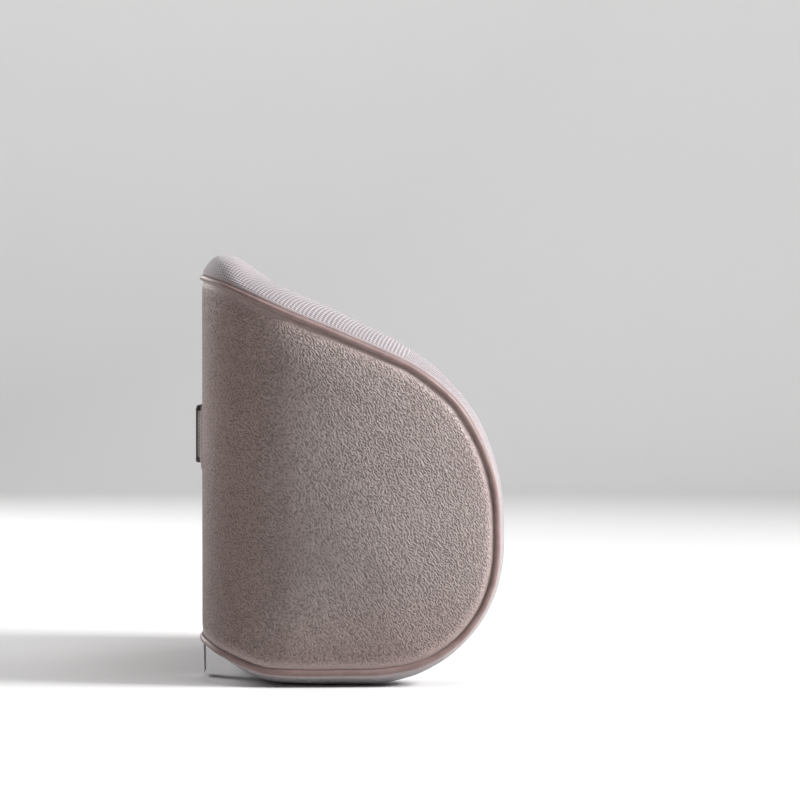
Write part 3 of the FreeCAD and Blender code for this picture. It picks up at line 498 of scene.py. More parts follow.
def panel(name, wanted, thickness, sunk=0.0):
    """A cover panel or a layer under it. A UV map holds its flat pattern, an attribute its seam distance."""
    quads = faces[np.isin(panels, wanted)]
    used, compact = np.unique(quads, return_inverse=True)
    obj = make_mesh(name, skin[used] - skin_normals[used] * sunk, compact.reshape(-1, 4))
    mesh = obj.data
    loops = np.zeros(len(mesh.loops), np.int32)
    mesh.loops.foreach_get("vertex_index", loops)
    pattern = mesh.uv_layers.new(name="pattern")
    pattern.data.foreach_set("uv", (skin_flat[used][loops] * MM).astype(np.float32).ravel())
    away = mesh.attributes.new("seam_distance", "FLOAT", "POINT")
    away.data.foreach_set("value", (skin_away[used] * MM).astype(np.float32))
    return thicken(obj, thickness)


FRONT_PANELS = PANEL_CENTRE, PANEL_LEFT, PANEL_RIGHT
LEATHER_THICK, MESH_THICK, LINER_THICK, LINER_SUNK, FOAM_SUNK = 0.8, 1.7, 0.5, 2.2, 3.0

outer_panel = panel("outer_panel", PANEL_OUTER, LEATHER_THICK)
front_centre = panel("front_center_panel", PANEL_CENTRE, MESH_THICK)
wing_right = panel("front_wing_panel_right", PANEL_RIGHT, MESH_THICK)
wing_left = panel("front_wing_panel_left", PANEL_LEFT, MESH_THICK)
liner_back = panel("inner_liner_back", PANEL_OUTER, LINER_THICK, LINER_SUNK)
liner_front = panel("inner_liner_front", FRONT_PANELS, LINER_THICK, LINER_SUNK)

# the foam is the whole skin moved inwards, with the zip's opening filled
foam_faces = np.concatenate([faces, slot_faces])
foam = make_mesh("foam_core", skin - vertex_normals(skin, foam_faces) * FOAM_SUNK, foam_faces)


# -------- tubes, strips and threads
def unit(v):
    return v / np.maximum(np.linalg.norm(v, axis=-1), 1e-9)[..., None]


def loop_smooth(values, times):
    for _ in range(times):
        values = (np.roll(values, 1, axis=0) + 2 * values + np.roll(values, -1, axis=0)) / 4
    return values


def tube_quads(rings, sides, closed, offset=0, inside=False):
    quads = []
    for i in range(rings if closed else rings - 1):
        following = (i + 1) % rings
        for j in range(sides):
            turn = (j + 1) % sides
            quad = [i * sides + j, i * sides + turn, following * sides + turn, following * sides + j]
            quads.append([q + offset for q in (quad[::-1] if inside else quad)])
    return quads


def tube_points(path, normals, radius, sides):
    tangent = unit(np.roll(path, -1, axis=0) - np.roll(path, 1, axis=0))
    out = unit(normals - tangent * (normals * tangent).sum(1)[:, None])
    across = np.cross(tangent, out)
    angles = (np.arange(sides) * 2 * math.pi / sides)[None, :, None]
    radius = np.broadcast_to(radius, len(path))[:, None, None]
    points = path[:, None] + radius * (np.cos(angles) * out[:, None] + np.sin(angles) * across[:, None])
    return points.reshape(-1, 3)


def resample(path, normals, times):
    """A closed path with more points, on smooth curves between the old ones."""
    p0, p1, p2, p3 = (np.roll(path, shift, axis=0) for shift in (1, 0, -1, -2))
    steps = np.arange(times) / times
    square, cube = 2 * p0 - 5 * p1 + 4 * p2 - p3, 3 * p1 - p0 - 3 * p2 + p3
    path = np.stack([0.5 * (2 * p1 + (p2 - p0) * t + square * t * t + cube * t**3) for t in steps], 1)
    normals = np.stack([normals * (1 - t) + np.roll(normals, -1, axis=0) * t for t in steps], 1)
    return path.reshape(-1, 3), unit(normals.reshape(-1, 3))


CORD_R, BORE_R, PIPING_R, SEAM_LIFT, LOWEST_CORD = 1.25, 1.4, 2.4, 1.5, 2.6
PIPING_SIDES, CORD_SIDES = 14, 10
seam_up = unit(loop_smooth(skin_normals[ring_ids[:, 0]], 6))
seam_line = loop_smooth(skin[ring_ids[:, 0]], 2) + seam_up * SEAM_LIFT
seam_path, seam_path_up = resample(seam_line, seam_up, 2)
seam_path[:, 2] = np.maximum(seam_path[:, 2], LOWEST_CORD)
wobble = 1 + 0.025 * swirl(seam_path, 9.0, 1.3)
outside = tube_points(seam_path, seam_path_up, PIPING_R * wobble, PIPING_SIDES)
inside = tube_points(seam_path, seam_path_up, BORE_R, PIPING_SIDES)
piping_quads = tube_quads(len(seam_path), PIPING_SIDES, True)
piping_quads += tube_quads(len(seam_path), PIPING_SIDES, True, len(outside), inside=True)
piping = make_mesh("edge_piping", np.concatenate([outside, inside]), piping_quads)
cord_points = tube_points(seam_path, seam_path_up, CORD_R, CORD_SIDES)
cord = make_mesh("piping_cord", cord_points, tube_quads(len(seam_path), CORD_SIDES, True))


def small_bars(block, inside):
    """Points and faces of many six-sided bars with closed ends: block is (bar, ring, side, 3)."""
    bars, rings, sides = block.shape[:3]
    quads = []
    for base in range(0, bars * rings * sides, rings * sides):
        quads += tube_quads(rings, sides, False, base, inside)
        for start, turned in ((base, not inside), (base + (rings - 1) * sides, inside)):
            for cap in ((0, 1, 2, 3), (0, 3, 4, 5)):
                quads.append([start + i for i in (cap[::-1] if turned else cap)])
    return block.reshape(-1, 3), quads


# one stitch: (place along it, width, rise), as shares of its length and radius
STITCH = (-0.5, 0.35, -0.35), (-0.36, 0.9, 0.25), (0, 1.0, 0.55), (0.36, 0.9, 0.25), (0.5, 0.35, -0.35)


def stitch_block(points, ups, pitch, length, radius):
    """Small rounded bars along a polyline, one for each stitch: (stitch, ring, side, 3)."""
    steps = travelled(points)
    count = max(int(steps[-1] / pitch), 1)
    centres = (np.arange(count) + 0.5) * steps[-1] / count

    def on_line(at, values):
        return np.stack([np.interp(at, steps, values[:, i]) for i in range(3)], 1)

    angles = (np.arange(6) * math.pi / 3)[None, :, None]
    up = unit(on_line(centres, ups))
    along = unit(on_line(centres + 0.1, points) - on_line(centres - 0.1, points))
    turned = np.cos(angles) * np.cross(along, up)[:, None] + np.sin(angles) * up[:, None]
    rings = []
    for share, width, lift in STITCH:
        middle = on_line(centres + share * length, points) + up * lift * radius
        rings.append(middle[:, None] + radius * width * turned)
    return np.stack(rings, 1)


def threads(name, lines, pitch, length, radius):
    """One piece made of the stitches of several lines, each a pair of points and up directions."""
    blocks = [stitch_block(*(np.asarray(v, float) for v in line), pitch, length, radius) for line in lines]
    return make_mesh(name, *small_bars(np.concatenate(blocks), True))


def sewn(start, end):
    """A straight line of stitches that lies on the back."""
    return [start, end], [(0, 1, 0)] * 2


def rounded(path, times=3, closed=False):
    """Corner cutting: a smooth line inside the given corners."""
    path = np.asarray(path, float)
    for _ in range(times):
        following = np.roll(path, -1, axis=0) if closed else path[1:]
        here = path if closed else path[:-1]
        cut_points = np.stack([here * 0.75 + following * 0.25, here * 0.25 + following * 0.75], 1)
        middle = cut_points.reshape(-1, path.shape[1])
        path = middle if closed else np.concatenate([path[:1], middle[1:-1], path[-1:]])
    return path


def weld(obj, distance=0.004):
    bm = bmesh.new()
    bm.from_mesh(obj.data)
    bmesh.ops.remove_doubles(bm, verts=bm.verts, dist=distance * MM)
    bmesh.ops.recalc_face_normals(bm, faces=bm.faces)
    bm.to_mesh(obj.data)
    bm.free()


def smooth_by_angle(obj, degrees=35):
    obj.data.shade_smooth()
    obj.data.set_sharp_from_angle(angle=math.radians(degrees))
    return obj


def evaluated(obj):
    """The mesh of an object or curve with its modifiers applied."""
    graph = bpy.context.evaluated_depsgraph_get()
    return bpy.data.meshes.new_from_object(obj.evaluated_get(graph))


def plate(name, outline, low, high, bevel, holes=()):
    """A flat part with softened edges, from low to high above the back. The outline and holes are (x, z)."""
    curve = bpy.data.curves.new(name, "CURVE")
    curve.dimensions, curve.fill_mode = "2D", "BOTH"
    curve.extrude = ((high - low) / 2 - bevel) * MM
    curve.bevel_depth, curve.bevel_resolution, curve.offset = bevel * MM, 2, -bevel * MM
    for corners_2d in (outline, *holes):
        spline = curve.splines.new("POLY")
        spline.points.add(len(corners_2d) - 1)
        for point, (x, z) in zip(spline.points, corners_2d):
            point.co = (x * MM, z * MM, 0, 1)
        spline.use_cyclic_u = True
    temporary = add_object(name + "_outline", curve)
    mesh = evaluated(temporary)
    bpy.data.objects.remove(temporary)
    co = np.zeros(len(mesh.vertices) * 3)
    mesh.vertices.foreach_get("co", co)
    across, up, out = co.reshape(-1, 3).T
    turned = np.stack([across, (BACK + (low + high) / 2) * MM - out, up], 1)
    mesh.vertices.foreach_set("co", turned.ravel())
    obj = add_object(name, mesh)
    weld(obj)
    return obj


def join(name, parts):
    """Several meshes as one piece."""
    bpy.ops.object.select_all(action="DESELECT")
    for part in parts:
        part.select_set(True)
    bpy.context.view_layer.objects.active = parts[0]
    bpy.ops.object.join()
    parts[0].name = parts[0].data.name = name
    return smooth_by_angle(parts[0])


def bake_modifiers(obj):
    mesh = evaluated(obj)
    obj.modifiers.clear()
    obj.data = mesh


def rounded_outline(x0, x1, z, half, radius, steps):
    """A rectangle of (x, z), centred on height z, with round corners."""
    points = []
    right, left, high, low = x1 - radius, x0 + radius, z + half - radius, z - half + radius
    for cx, cz, start in ((right, high, 0), (left, high, 90), (left, low, 180), (right, low, 270)):
        for k in range(steps + 1):
            turn = math.radians(start + 90 * k / steps)
            points.append((cx + radius * math.cos(turn), cz + radius * math.sin(turn)))
    return points


def sheet_quads(columns, rows, turned):
    """Faces of a grid of points, counted up its columns."""
    quads = []
    for i in range(columns):
        for a in range(i * (rows + 1), i * (rows + 1) + rows):
            quad = [a, a + 1, a + rows + 2, a + rows + 1]
            quads.append(quad[::-1] if turned else quad)
    return quads


# -------- zip
COIL_PITCH, COIL_START, COIL_END = 1.3, -126.0, 131.0
TOOTH = np.array([(-0.55, 0.28), (-0.2, 0.42), (0.5, 0.30), (2.45, 0.28)])  # out from the middle, radius
BULB_RISE, BULB_R = 0.62, 0.42


def coil(name, upper):
    """Nylon teeth: a row of small bars that reach past the middle between those of the other half."""
    starts = np.arange(COIL_START, COIL_END - COIL_PITCH, COIL_PITCH) + (COIL_PITCH / 2 if upper else 0)
    angles = np.arange(6) * math.pi / 3 + math.pi / 6
    out, radius = TOOTH.T[:, :, None]
    x = starts[:, None, None] + radius * np.cos(angles) + COIL_PITCH / 4
    y = BACK - 0.1 + BULB_RISE * radius / BULB_R * np.sin(angles)
    z = ZIP_Z + (out if upper else -out)
    return make_mesh(name, *small_bars(np.stack(np.broadcast_arrays(x, y, z), -1), not upper))


coil_upper, coil_lower = coil("zip_coil_upper", True), coil("zip_coil_lower", False)
TAPE_ACROSS = 0.25, 0.5, 1.4, 2.4, 2.9, 4.5, 8.0, 12.2, 12.5
TAPE_RISE = 0.15, 0.25, 0.25, 0.25, 0.05, 0.0, 0.0, 0.0, -0.1


def tape(name, sign):
    """A woven tape with a thicker inner edge that carries the coil."""
    xs = np.linspace(-146, 146, 147)
    points = [
        (x, BACK - 0.85 + rise, ZIP_Z + sign * (across + 0.04 * math.sin(x * 0.7) * (across > 12)))
        for x in xs
        for across, rise in zip(TAPE_ACROSS, TAPE_RISE)
    ]
    quads = sheet_quads(len(xs) - 1, len(TAPE_ACROSS) - 1, sign < 0)
    return thicken(make_mesh(name, points, quads), 0.5)


tape_upper, tape_lower = tape("zip_tape_upper", 1), tape("zip_tape_lower", -1)

SLIDER_X, PIVOT_RISE = 126.0, 2.85


def both_sides(half, last=()):
    """A closed (x, z) outline from its lower half, whose mirror image comes back, and a last point."""
    return list(half) + [(x, -z) for x, z in reversed(half) if z] + list(last)


shield = both_sides(
    [
        (-4.75, -2.3), (-3.6, -3.3), (-1.2, -3.8), (2.2, -3.9),
        (4.2, -3.5), (4.75, -2.4), (4.75, -1.0), (3.9, 0.0),
    ],
    [(-4.75, 0.0)],
)
shield = [(SLIDER_X + x, ZIP_Z + z) for x, z in rounded(shield, 2, closed=True)]
post = rounded_outline(SLIDER_X + 1.6, SLIDER_X + 4.2, ZIP_Z, 0.2, 0.15, 2)
slider_plates = [
    plate("slider_sole", shield, -2.45, -1.55, 0.25),
    plate("slider_top", shield, 0.75, 1.95, 0.35),
    plate("slider_post", post, -1.7, 0.9, 0.05),
]
for flange_z in (ZIP_Z - 3.5, ZIP_Z + 3.5):
    flange = rounded_outline(SLIDER_X - 4.0, SLIDER_X + 4.0, flange_z, 0.4, 0.35, 3)
    slider_plates.append(plate("slider_flange", flange, -0.1, 1.2, 0.2))


def bar(name, path, width, thickness, z, steps=4):
    """A flat bar with rounded edges that follows an (x, y) path, centred on height z."""
    path = np.asarray(path, float)
    tangent = unit(np.gradient(path, axis=0))
    normal = np.stack([-tangent[:, 1], tangent[:, 0]], 1)
    half, r = width / 2, thickness / 2
    section = []  # height, offset along the path's normal
    for centre, start in ((half - r, -90), (r - half, 90)):
        for k in range(steps + 1):
            turn = math.radians(start + 180 * k / steps)
            section.append((centre + r * math.cos(turn), r * math.sin(turn)))
    points = [(p[0] + n[0] * t, p[1] + n[1] * t, w) for p, n in zip(path, normal) for w, t in section]
    sides = len(section)
    quads = tube_quads(len(path), sides, False, inside=True)
    quads += [list(range(sides)), list(range(len(points) - sides, len(points)))[::-1]]
    obj = make_mesh(name, points, quads)
    obj.data.transform(Matrix.Translation((0, 0, z * MM)))
    return obj


bridge = both_sides([(1.6, -3.6), (3.2, -3.6), (4.15, -2.9)])
bridge_path = rounded([(SLIDER_X + along, BACK + rise) for rise, along in bridge])
slider_plates.append(bar("slider_bridge", bridge_path, 1.9, 0.8, ZIP_Z))
zip_slider = join("zip_slider", slider_plates)

TAB_END = SLIDER_X - 31.4
tab_outline = both_sides(
    [
        (TAB_END + 1.4, -2.9), (TAB_END + 9, -3.2), (TAB_END + 17, -2.5), (TAB_END + 23.0, -2.35),
        (TAB_END + 26.0, -2.35), (SLIDER_X - 0.4, -2.2), (SLIDER_X + 0.5, -1.6),
    ],
    [(TAB_END, 1.5), (TAB_END, -1.5)],
)
window = rounded_outline(SLIDER_X - 4.9, SLIDER_X - 0.55, ZIP_Z, 1.25, 0.6, 4)
tab_hole = rounded_outline(TAB_END + 2.4, TAB_END + 7.0, ZIP_Z, 1.5, 1.45, 6)
tab = [(x, ZIP_Z + z) for x, z in rounded(tab_outline, 2, closed=True)]
tab_holes = tab_hole[::-1], window[::-1]
zip_pull = smooth_by_angle(plate("zip_pull", tab, PIVOT_RISE - 0.55, PIVOT_RISE + 0.55, 0.28, tab_holes))

stops = [rounded_outline(131.2, 133.7, z, 1.1, 0.5, 3) for z in (ZIP_Z - 2.7, ZIP_Z + 2.7)]
top_stops = join("zip_top_stops", [plate("top_stop", outline, -1.6, 0.7, 0.3) for outline in stops])
stop_outline = rounded_outline(-129.5, -126.5, ZIP_Z, 2.6, 0.6, 3)
bottom_stop = smooth_by_angle(plate("zip_bottom_stop", stop_outline, -1.6, 0.8, 0.35))

# -------- strap
STRAP_Z, STRAP_WIDTH, STRAP_THICK, STRAP_STEP = 190.0, 38.0, 1.5, 1.2
SEWN_HALF = 15.5  # half the height of the sewn boxes


def webbing(name, corners):
    """A flat woven strap along (x, rise above the back), with bound edges."""
    path = rounded([(x, BACK + rise) for x, rise in corners], 3)
    steps = travelled(path)
    even = np.linspace(0, steps[-1], int(steps[-1] / STRAP_STEP))
    path = np.stack([np.interp(even, steps, path[:, i]) for i in range(2)], 1)
    obj = bar(name, path, STRAP_WIDTH, STRAP_THICK, STRAP_Z)
    mesh, sides = obj.data, len(obj.data.vertices) // len(path)
    pattern = mesh.uv_layers.new(name="pattern")
    corner_ids = [index for polygon in mesh.polygons for index in polygon.vertices]
    uv = [(even[index // sides] * MM, mesh.vertices[index].co.z - STRAP_Z * MM) for index in corner_ids]
    pattern.data.foreach_set("uv", np.array(uv, np.float32).ravel())
    return obj


strap_left = webbing(
    "strap_left",
    [
        (-132, 1.2), (-112, 1.3), (-96, 1.25), (-60, 1.2), (-44, 3.0), (-26, 3.0), (-26, 9.2),
        (-36, 9.2), (-46, 4.7), (-60, 2.9), (-72, 2.85), (-84, 2.9),
    ],
)
strap_right = webbing(
    "strap_right",
    [
        (132, 1.2), (112, 1.3), (96, 1.25), (60, 1.2), (40, 2.6), (14, 2.6), (14, 8.8),
        (23, 8.8), (23, 4.3), (40, 4.3), (60, 2.9), (80, 2.85), (100, 2.9),
    ],
)


def sewn_box(x0, x1, y):
    """Stitch lines of a box on the strap: its four sides, then the X in it."""
    a, b, c, d = ((x, y, STRAP_Z + z) for z, x in zip((-SEWN_HALF,) * 2 + (SEWN_HALF,) * 2, (x0, x1, x1, x0)))
    return [sewn(*ends) for ends in ((a, b), (b, c), (c, d), (d, a), (a, c), (b, d))]


STRAP_SEWING = 2.6, 2.0, 0.24  # pitch, length and radius of the stitches
# the left loop has a box and X, the right one a row of stitches on each edge
strap_stitches_left = threads("strap_stitches_left", sewn_box(-81, -64, BACK + 3.72), *STRAP_SEWING)
strap_stitches_right = threads("strap_stitches_right", sewn_box(66, 97, BACK + 3.72)[:4:2], *STRAP_SEWING)

ANCHOR_IN, ANCHOR_OUT, ANCHOR_LOW, ANCHOR_HIGH = 110.0, 142.0, 164.0, 216.0
ANCHOR_R = 5.0  # radius of the patch's corners
ANCHOR_COLUMNS, ANCHOR_ROWS = 34, 54


def anchor(name, sign):
    """A sewn-down leatherette patch, raised where the strap's end runs in under it."""
    middle_x, middle_z = (ANCHOR_IN + ANCHOR_OUT) / 2, (ANCHOR_LOW + ANCHOR_HIGH) / 2
    half_x, half_z = (ANCHOR_OUT - ANCHOR_IN) / 2 - ANCHOR_R, (ANCHOR_HIGH - ANCHOR_LOW) / 2 - ANCHOR_R
    points = []
    for x in np.linspace(ANCHOR_IN, ANCHOR_OUT, ANCHOR_COLUMNS + 1):
        for z in np.linspace(ANCHOR_LOW, ANCHOR_HIGH, ANCHOR_ROWS + 1):
            # rounded corners, by pulling the grid's corners in
            px, pz = x, z
            dx, dz = abs(x - middle_x) - half_x, abs(z - middle_z) - half_z
            if min(dx, dz) > 0 and math.hypot(dx, dz) > ANCHOR_R:
                scale = ANCHOR_R / math.hypot(dx, dz)
                px = middle_x + math.copysign(half_x + dx * scale, x - middle_x)
                pz = middle_z + math.copysign(half_z + dz * scale, z - middle_z)
            over = smooth_step((22.5 - abs(pz - STRAP_Z)) / 4.5) * smooth_step((138 - px) / 7)
            edge = min(px - ANCHOR_IN + 3, ANCHOR_OUT - px, pz - ANCHOR_LOW, ANCHOR_HIGH - pz)
            rise = 0.45 * smooth_step(edge / 1.6) + 0.35 * smooth_step((edge - 3.4) / 2.5) + 1.35 * over
            points.append((sign * px, BACK + 0.45 + rise, pz))
    return thicken(make_mesh(name, points, sheet_quads(ANCHOR_COLUMNS, ANCHOR_ROWS, sign < 0)), 0.8)


def anchor_stitches(name, sign):
    flat, low, high = BACK + 1.32, ANCHOR_LOW + 2.6, ANCHOR_HIGH - 2.6
    runs = [(112.5, 139.5, flat - 0.15, z, z) for z in (low, high)]
    runs += [(112.6, 112.6, flat, 166.6, 169.5), (112.6, 112.6, flat, 210.5, 213.4)]
    runs.append((139.4, 139.4, flat - 0.15, low, high))
    lines = [sewn((sign * x0, y, z0), (sign * x1, y, z1)) for x0, x1, y, z0, z1 in runs]
    return threads(name, lines + sewn_box(sign * 113.5, sign * 129, BACK + 2.62), 3.0, 2.2, 0.27)


anchor_left, anchor_right = anchor("strap_anchor_left", -1), anchor("strap_anchor_right", 1)
anchor_stitches_left = anchor_stitches("anchor_stitches_left", -1)
anchor_stitches_right = anchor_stitches("anchor_stitches_right", 1)

# stitches round the zip's opening, in the leatherette's two hems
HEM_X, HEM_END, HEM_Z, HEM_END_Z = ZIP_HALF + 3, ZIP_HALF + 3.4, 8.0, 7.4
hems = [(-HEM_X, HEM_X, s * HEM_Z, s * HEM_Z) for s in (-1, 1)]
hems += [(s * HEM_END, s * HEM_END, -HEM_END_Z, HEM_END_Z) for s in (-1, 1)]
zip_lines = [sewn((x0, BACK, ZIP_Z + z0), (x1, BACK, ZIP_Z + z1)) for x0, x1, z0, z1 in hems]
zip_stitches = threads("zip_hem_stitches", zip_lines, 3.4, 2.5, 0.27)


def panel_seam_stitches(name, sign):
    """Topstitching beside the seam between the centre panel and a wing panel."""
    ids = hollow_ids[LAST + sign * (COLS_CENTRE + 1), 3 : ROWS - 2]
    return threads(name, [(skin[ids] + skin_normals[ids] * 0.05, skin_normals[ids])], 4.0, 2.9, 0.3)


seam_stitches_left = panel_seam_stitches("panel_stitches_left", -1)
seam_stitches_right = panel_seam_stitches("panel_stitches_right", 1)

# -------- buckle
BUCKLE_RISE, BUCKLE_HALF = (0.8, 11.8), 23.5
THROUGH, OVER_BAR, UNDER_BAR, SLOT_Z = (-2, 14), (7.9, 14), (-2, 5.3), (-20, 20)
# what is cut out, as limits of x, of the rise above the back, and of z about the strap's middle
SOCKET_CUTS = (
    ((-18, 9), (3.3, 9.3), (-18, 18)),  # mouth and cavity
    ((-16, -2), (3.3, 9.3), (-26, -17)),  # finger windows in the two sides
    ((-16, -2), (3.3, 9.3), (17, 26)),
    ((-28, -24), THROUGH, SLOT_Z),  # slot for the strap, and room over and under the bar
    ((-34, -26), OVER_BAR, SLOT_Z),
    ((-34, -26), UNDER_BAR, SLOT_Z),
    *(((x, x + 1.1), (11.3, 13), (-11, 11)) for x in (-15, -12, -9)),  # shallow grips across the back
)
PLUG_CUTS = (
    ((12, 16), THROUGH, SLOT_Z),
    ((21, 25), THROUGH, SLOT_Z),
    ((15, 33), OVER_BAR, SLOT_Z),
    ((11, 33), UNDER_BAR, SLOT_Z),
)


def box_mesh(x_limits, rise_limits, z_limits):
    limits = (x_limits, np.add(BACK, rise_limits), np.add(STRAP_Z, z_limits))
    corners = [(x, y, z) for x in limits[0] for y in limits[1] for z in limits[2]]
    quads = [[0, 1, 3, 2], [4, 6, 7, 5], [0, 4, 5, 1], [2, 3, 7, 6], [0, 2, 6, 4], [1, 5, 7, 3]]
    return make_mesh("cutter", corners, quads, smooth=False)


def carve(obj, cuts, bevel):
    """Cuts boxes out of obj and softens the new edges."""
    cutters = [box_mesh(*limits) for limits in cuts]
    for cutter in cutters:
        cutting = obj.modifiers.new("cut", "BOOLEAN")
        cutting.operation, cutting.solver, cutting.object = "DIFFERENCE", "EXACT", cutter
    bpy.context.view_layer.update()
    bake_modifiers(obj)
    for cutter in cutters:
        bpy.data.objects.remove(cutter)
    weld(obj, 0.01)
    edge = obj.modifiers.new("soft_edges", "BEVEL")
    edge.width, edge.segments, edge.limit_method, edge.angle_limit = bevel * MM, 3, "ANGLE", math.radians(38)
    smooth_by_angle(obj)


socket = plate("buckle_socket", rounded_outline(-31, 6, STRAP_Z, BUCKLE_HALF, 6, 8), *BUCKLE_RISE, 1.6)
carve(socket, SOCKET_CUTS, 0.45)
plug_base = plate("plug_base", rounded_outline(7, 31, STRAP_Z, BUCKLE_HALF, 5, 8), *BUCKLE_RISE, 1.4)
carve(plug_base, PLUG_CUTS, 0.4)
bake_modifiers(plug_base)
tongue = plate("buckle_tongue", rounded_outline(-12, 9, STRAP_Z, 4, 1.5, 4), 4.3, 8.3, 0.7)
buckle_plug = join("buckle_plug", [plug_base, tongue])

LATCH = (
    (8, 8.5), (8, 12), (-0.5, 15.5), (-2.4, 16.4), (-2.6, 21.3), (-3.6, 22.5),
    (-6.2, 22.5), (-13.2, 17.6), (-14.5, 15.6), (-14.5, 13.2), (-12.8, 12.5), (-2.4, 12),
)
arms = [(x, STRAP_Z - z) for x, z in LATCH[::-1]], [(x, STRAP_Z + z) for x, z in LATCH]
latches = join("buckle_latches", [plate("latch", outline, 4.1, 8.5, 0.45) for outline in arms])

# -------- label
LABEL_COLUMNS, LABEL_ROWS = 14, 18
LABEL_X, LABEL_LOW, LABEL_WIDTH, LABEL_LENGTH = -120, 2.8, 28, 33
label_points = []
for s in np.linspace(0, 1, LABEL_COLUMNS + 1):
    for t in np.linspace(0, 1, LABEL_ROWS + 1):
        drop = 1 - t
        sway = 0.9 * math.sin(2.4 * s + 0.6) * drop + 0.5 * drop * drop
        y = BACK + 0.7 - 1.1 * drop * (1 - 0.2 * s) + 0.35 * sway
        label_points.append((LABEL_X + LABEL_WIDTH * s, y, LABEL_LOW + LABEL_LENGTH * t))
label = thicken(make_mesh("care_label", label_points, sheet_quads(LABEL_COLUMNS, LABEL_ROWS, False)), 0.25)


# -------- materials
def linear(colour):
    """sRGB 0 to 255 as a linear colour."""
    shares = [v / 255 for v in colour]
    return tuple(v / 12.92 if v <= 0.04045 else ((v + 0.055) / 1.055) ** 2.4 for v in shares) + (1.0,)


class Nodes:
    """Builds one material's node tree in few words."""

    def __init__(self, roughness=0.5, metallic=0.0, specular=0.5, sheen=0.0, sheen_roughness=0.5):
        self.material = bpy.data.materials.new("look")
        self.material.use_nodes = True
        self.tree = self.material.node_tree
        self.shader = next(n for n in self.tree.nodes if n.type == "BSDF_PRINCIPLED")
        for key, value in (
            ("Roughness", roughness), ("Metallic", metallic), ("Specular IOR Level", specular),
            ("Sheen Weight", sheen), ("Sheen Roughness", sheen_roughness),
        ):
            self.shader.inputs[key].default_value = value

    def put(self, target, value):
        if isinstance(value, bpy.types.NodeSocket):
            self.tree.links.new(value, target)
        else:
            target.default_value = value

    def node(self, kind, values=None, output=0, **settings):
        made = self.tree.nodes.new("ShaderNode" + kind)
        for key, value in settings.items():
            setattr(made, key, value)
        for key, value in (values or {}).items():
            self.put(made.inputs[key], value)
        return made.outputs[output]

    def place(self, rotation=(0, 0, 0), scale=(1, 1, 1), uv=None):
        source = self.node("UVMap", uv_map=uv) if uv else self.node("TexCoord", output="Object")
        turn = tuple(map(math.radians, rotation))
        return self.node("Mapping", {"Vector": source, "Rotation": turn, "Scale": scale})

    def from_seam(self):
        """The distance from the corded seam, in metres."""
        return self.node("Attribute", attribute_name="seam_distance", output="Fac")

    def noise(self, where, size, detail=2.0, rough=0.5, distortion=0.0):
        """Noise of about the given size in millimetres."""
        values = {"Vector": where, "Scale": 1 / (size * MM), "Detail": detail}
        return self.node("TexNoise", {**values, "Roughness": rough, "Distortion": distortion})

    def math(self, operation, a, b=0.0):
        return self.node("Math", {0: a, 1: b}, operation=operation)

    def vector(self, operation, a, b=(0.0, 0.0, 0.0), output=0):
        return self.node("VectorMath", {0: a, 1: b}, output, operation=operation)

    def remap(self, value, low, high, to_low=0.0, to_high=1.0, kind="SMOOTHSTEP"):
        values = {"Value": value, "From Min": low, "From Max": high, "To Min": to_low, "To Max": to_high}
        return self.node("MapRange", values, interpolation_type=kind)

    def mix(self, share, a, b):
        """Blends two colours, each a socket or sRGB 0 to 255."""
        made = self.tree.nodes.new("ShaderNodeMix")
        made.data_type = "RGBA"
        self.put(made.inputs[0], share)
        for target, value in ((made.inputs[6], a), (made.inputs[7], b)):
            self.put(target, value if isinstance(value, bpy.types.NodeSocket) else linear(value))
        return made.outputs[2]

    def clouded(self, where, size, dark, light, detail=2.0, rough=0.5, low=0.3):
        """A colour that drifts between two over about the given size."""
        return self.mix(self.remap(self.noise(where, size, detail, rough), low, 1 - low), dark, light)

    def bump(self, height, depth, under=None):
        values = {"Height": height, "Distance": depth * MM, "Strength": 1.0}
        if under is not None:
            values["Normal"] = under
        return self.node("Bump", values)

    def times(self, a, b):
        return self.math("MULTIPLY", a, b)

    def finish(self, colour, normal=None, roughness=None):
        for key, value in (("Base Color", colour), ("Normal", normal), ("Roughness", roughness)):
            if value is not None:
                self.put(self.shader.inputs[key], value)
        return self.material

    def speckled(self, colour, specks, depth, low, high):
        """A finish whose small specks shape it and vary its roughness from low to high."""
        return self.finish(colour, self.bump(specks, depth), self.remap(specks, 0.3, 0.7, low, high))


def around(colour, below, above):
    """Two colours, a little darker and a little lighter than the given one."""
    return [v - below for v in colour], [v + above for v in colour]


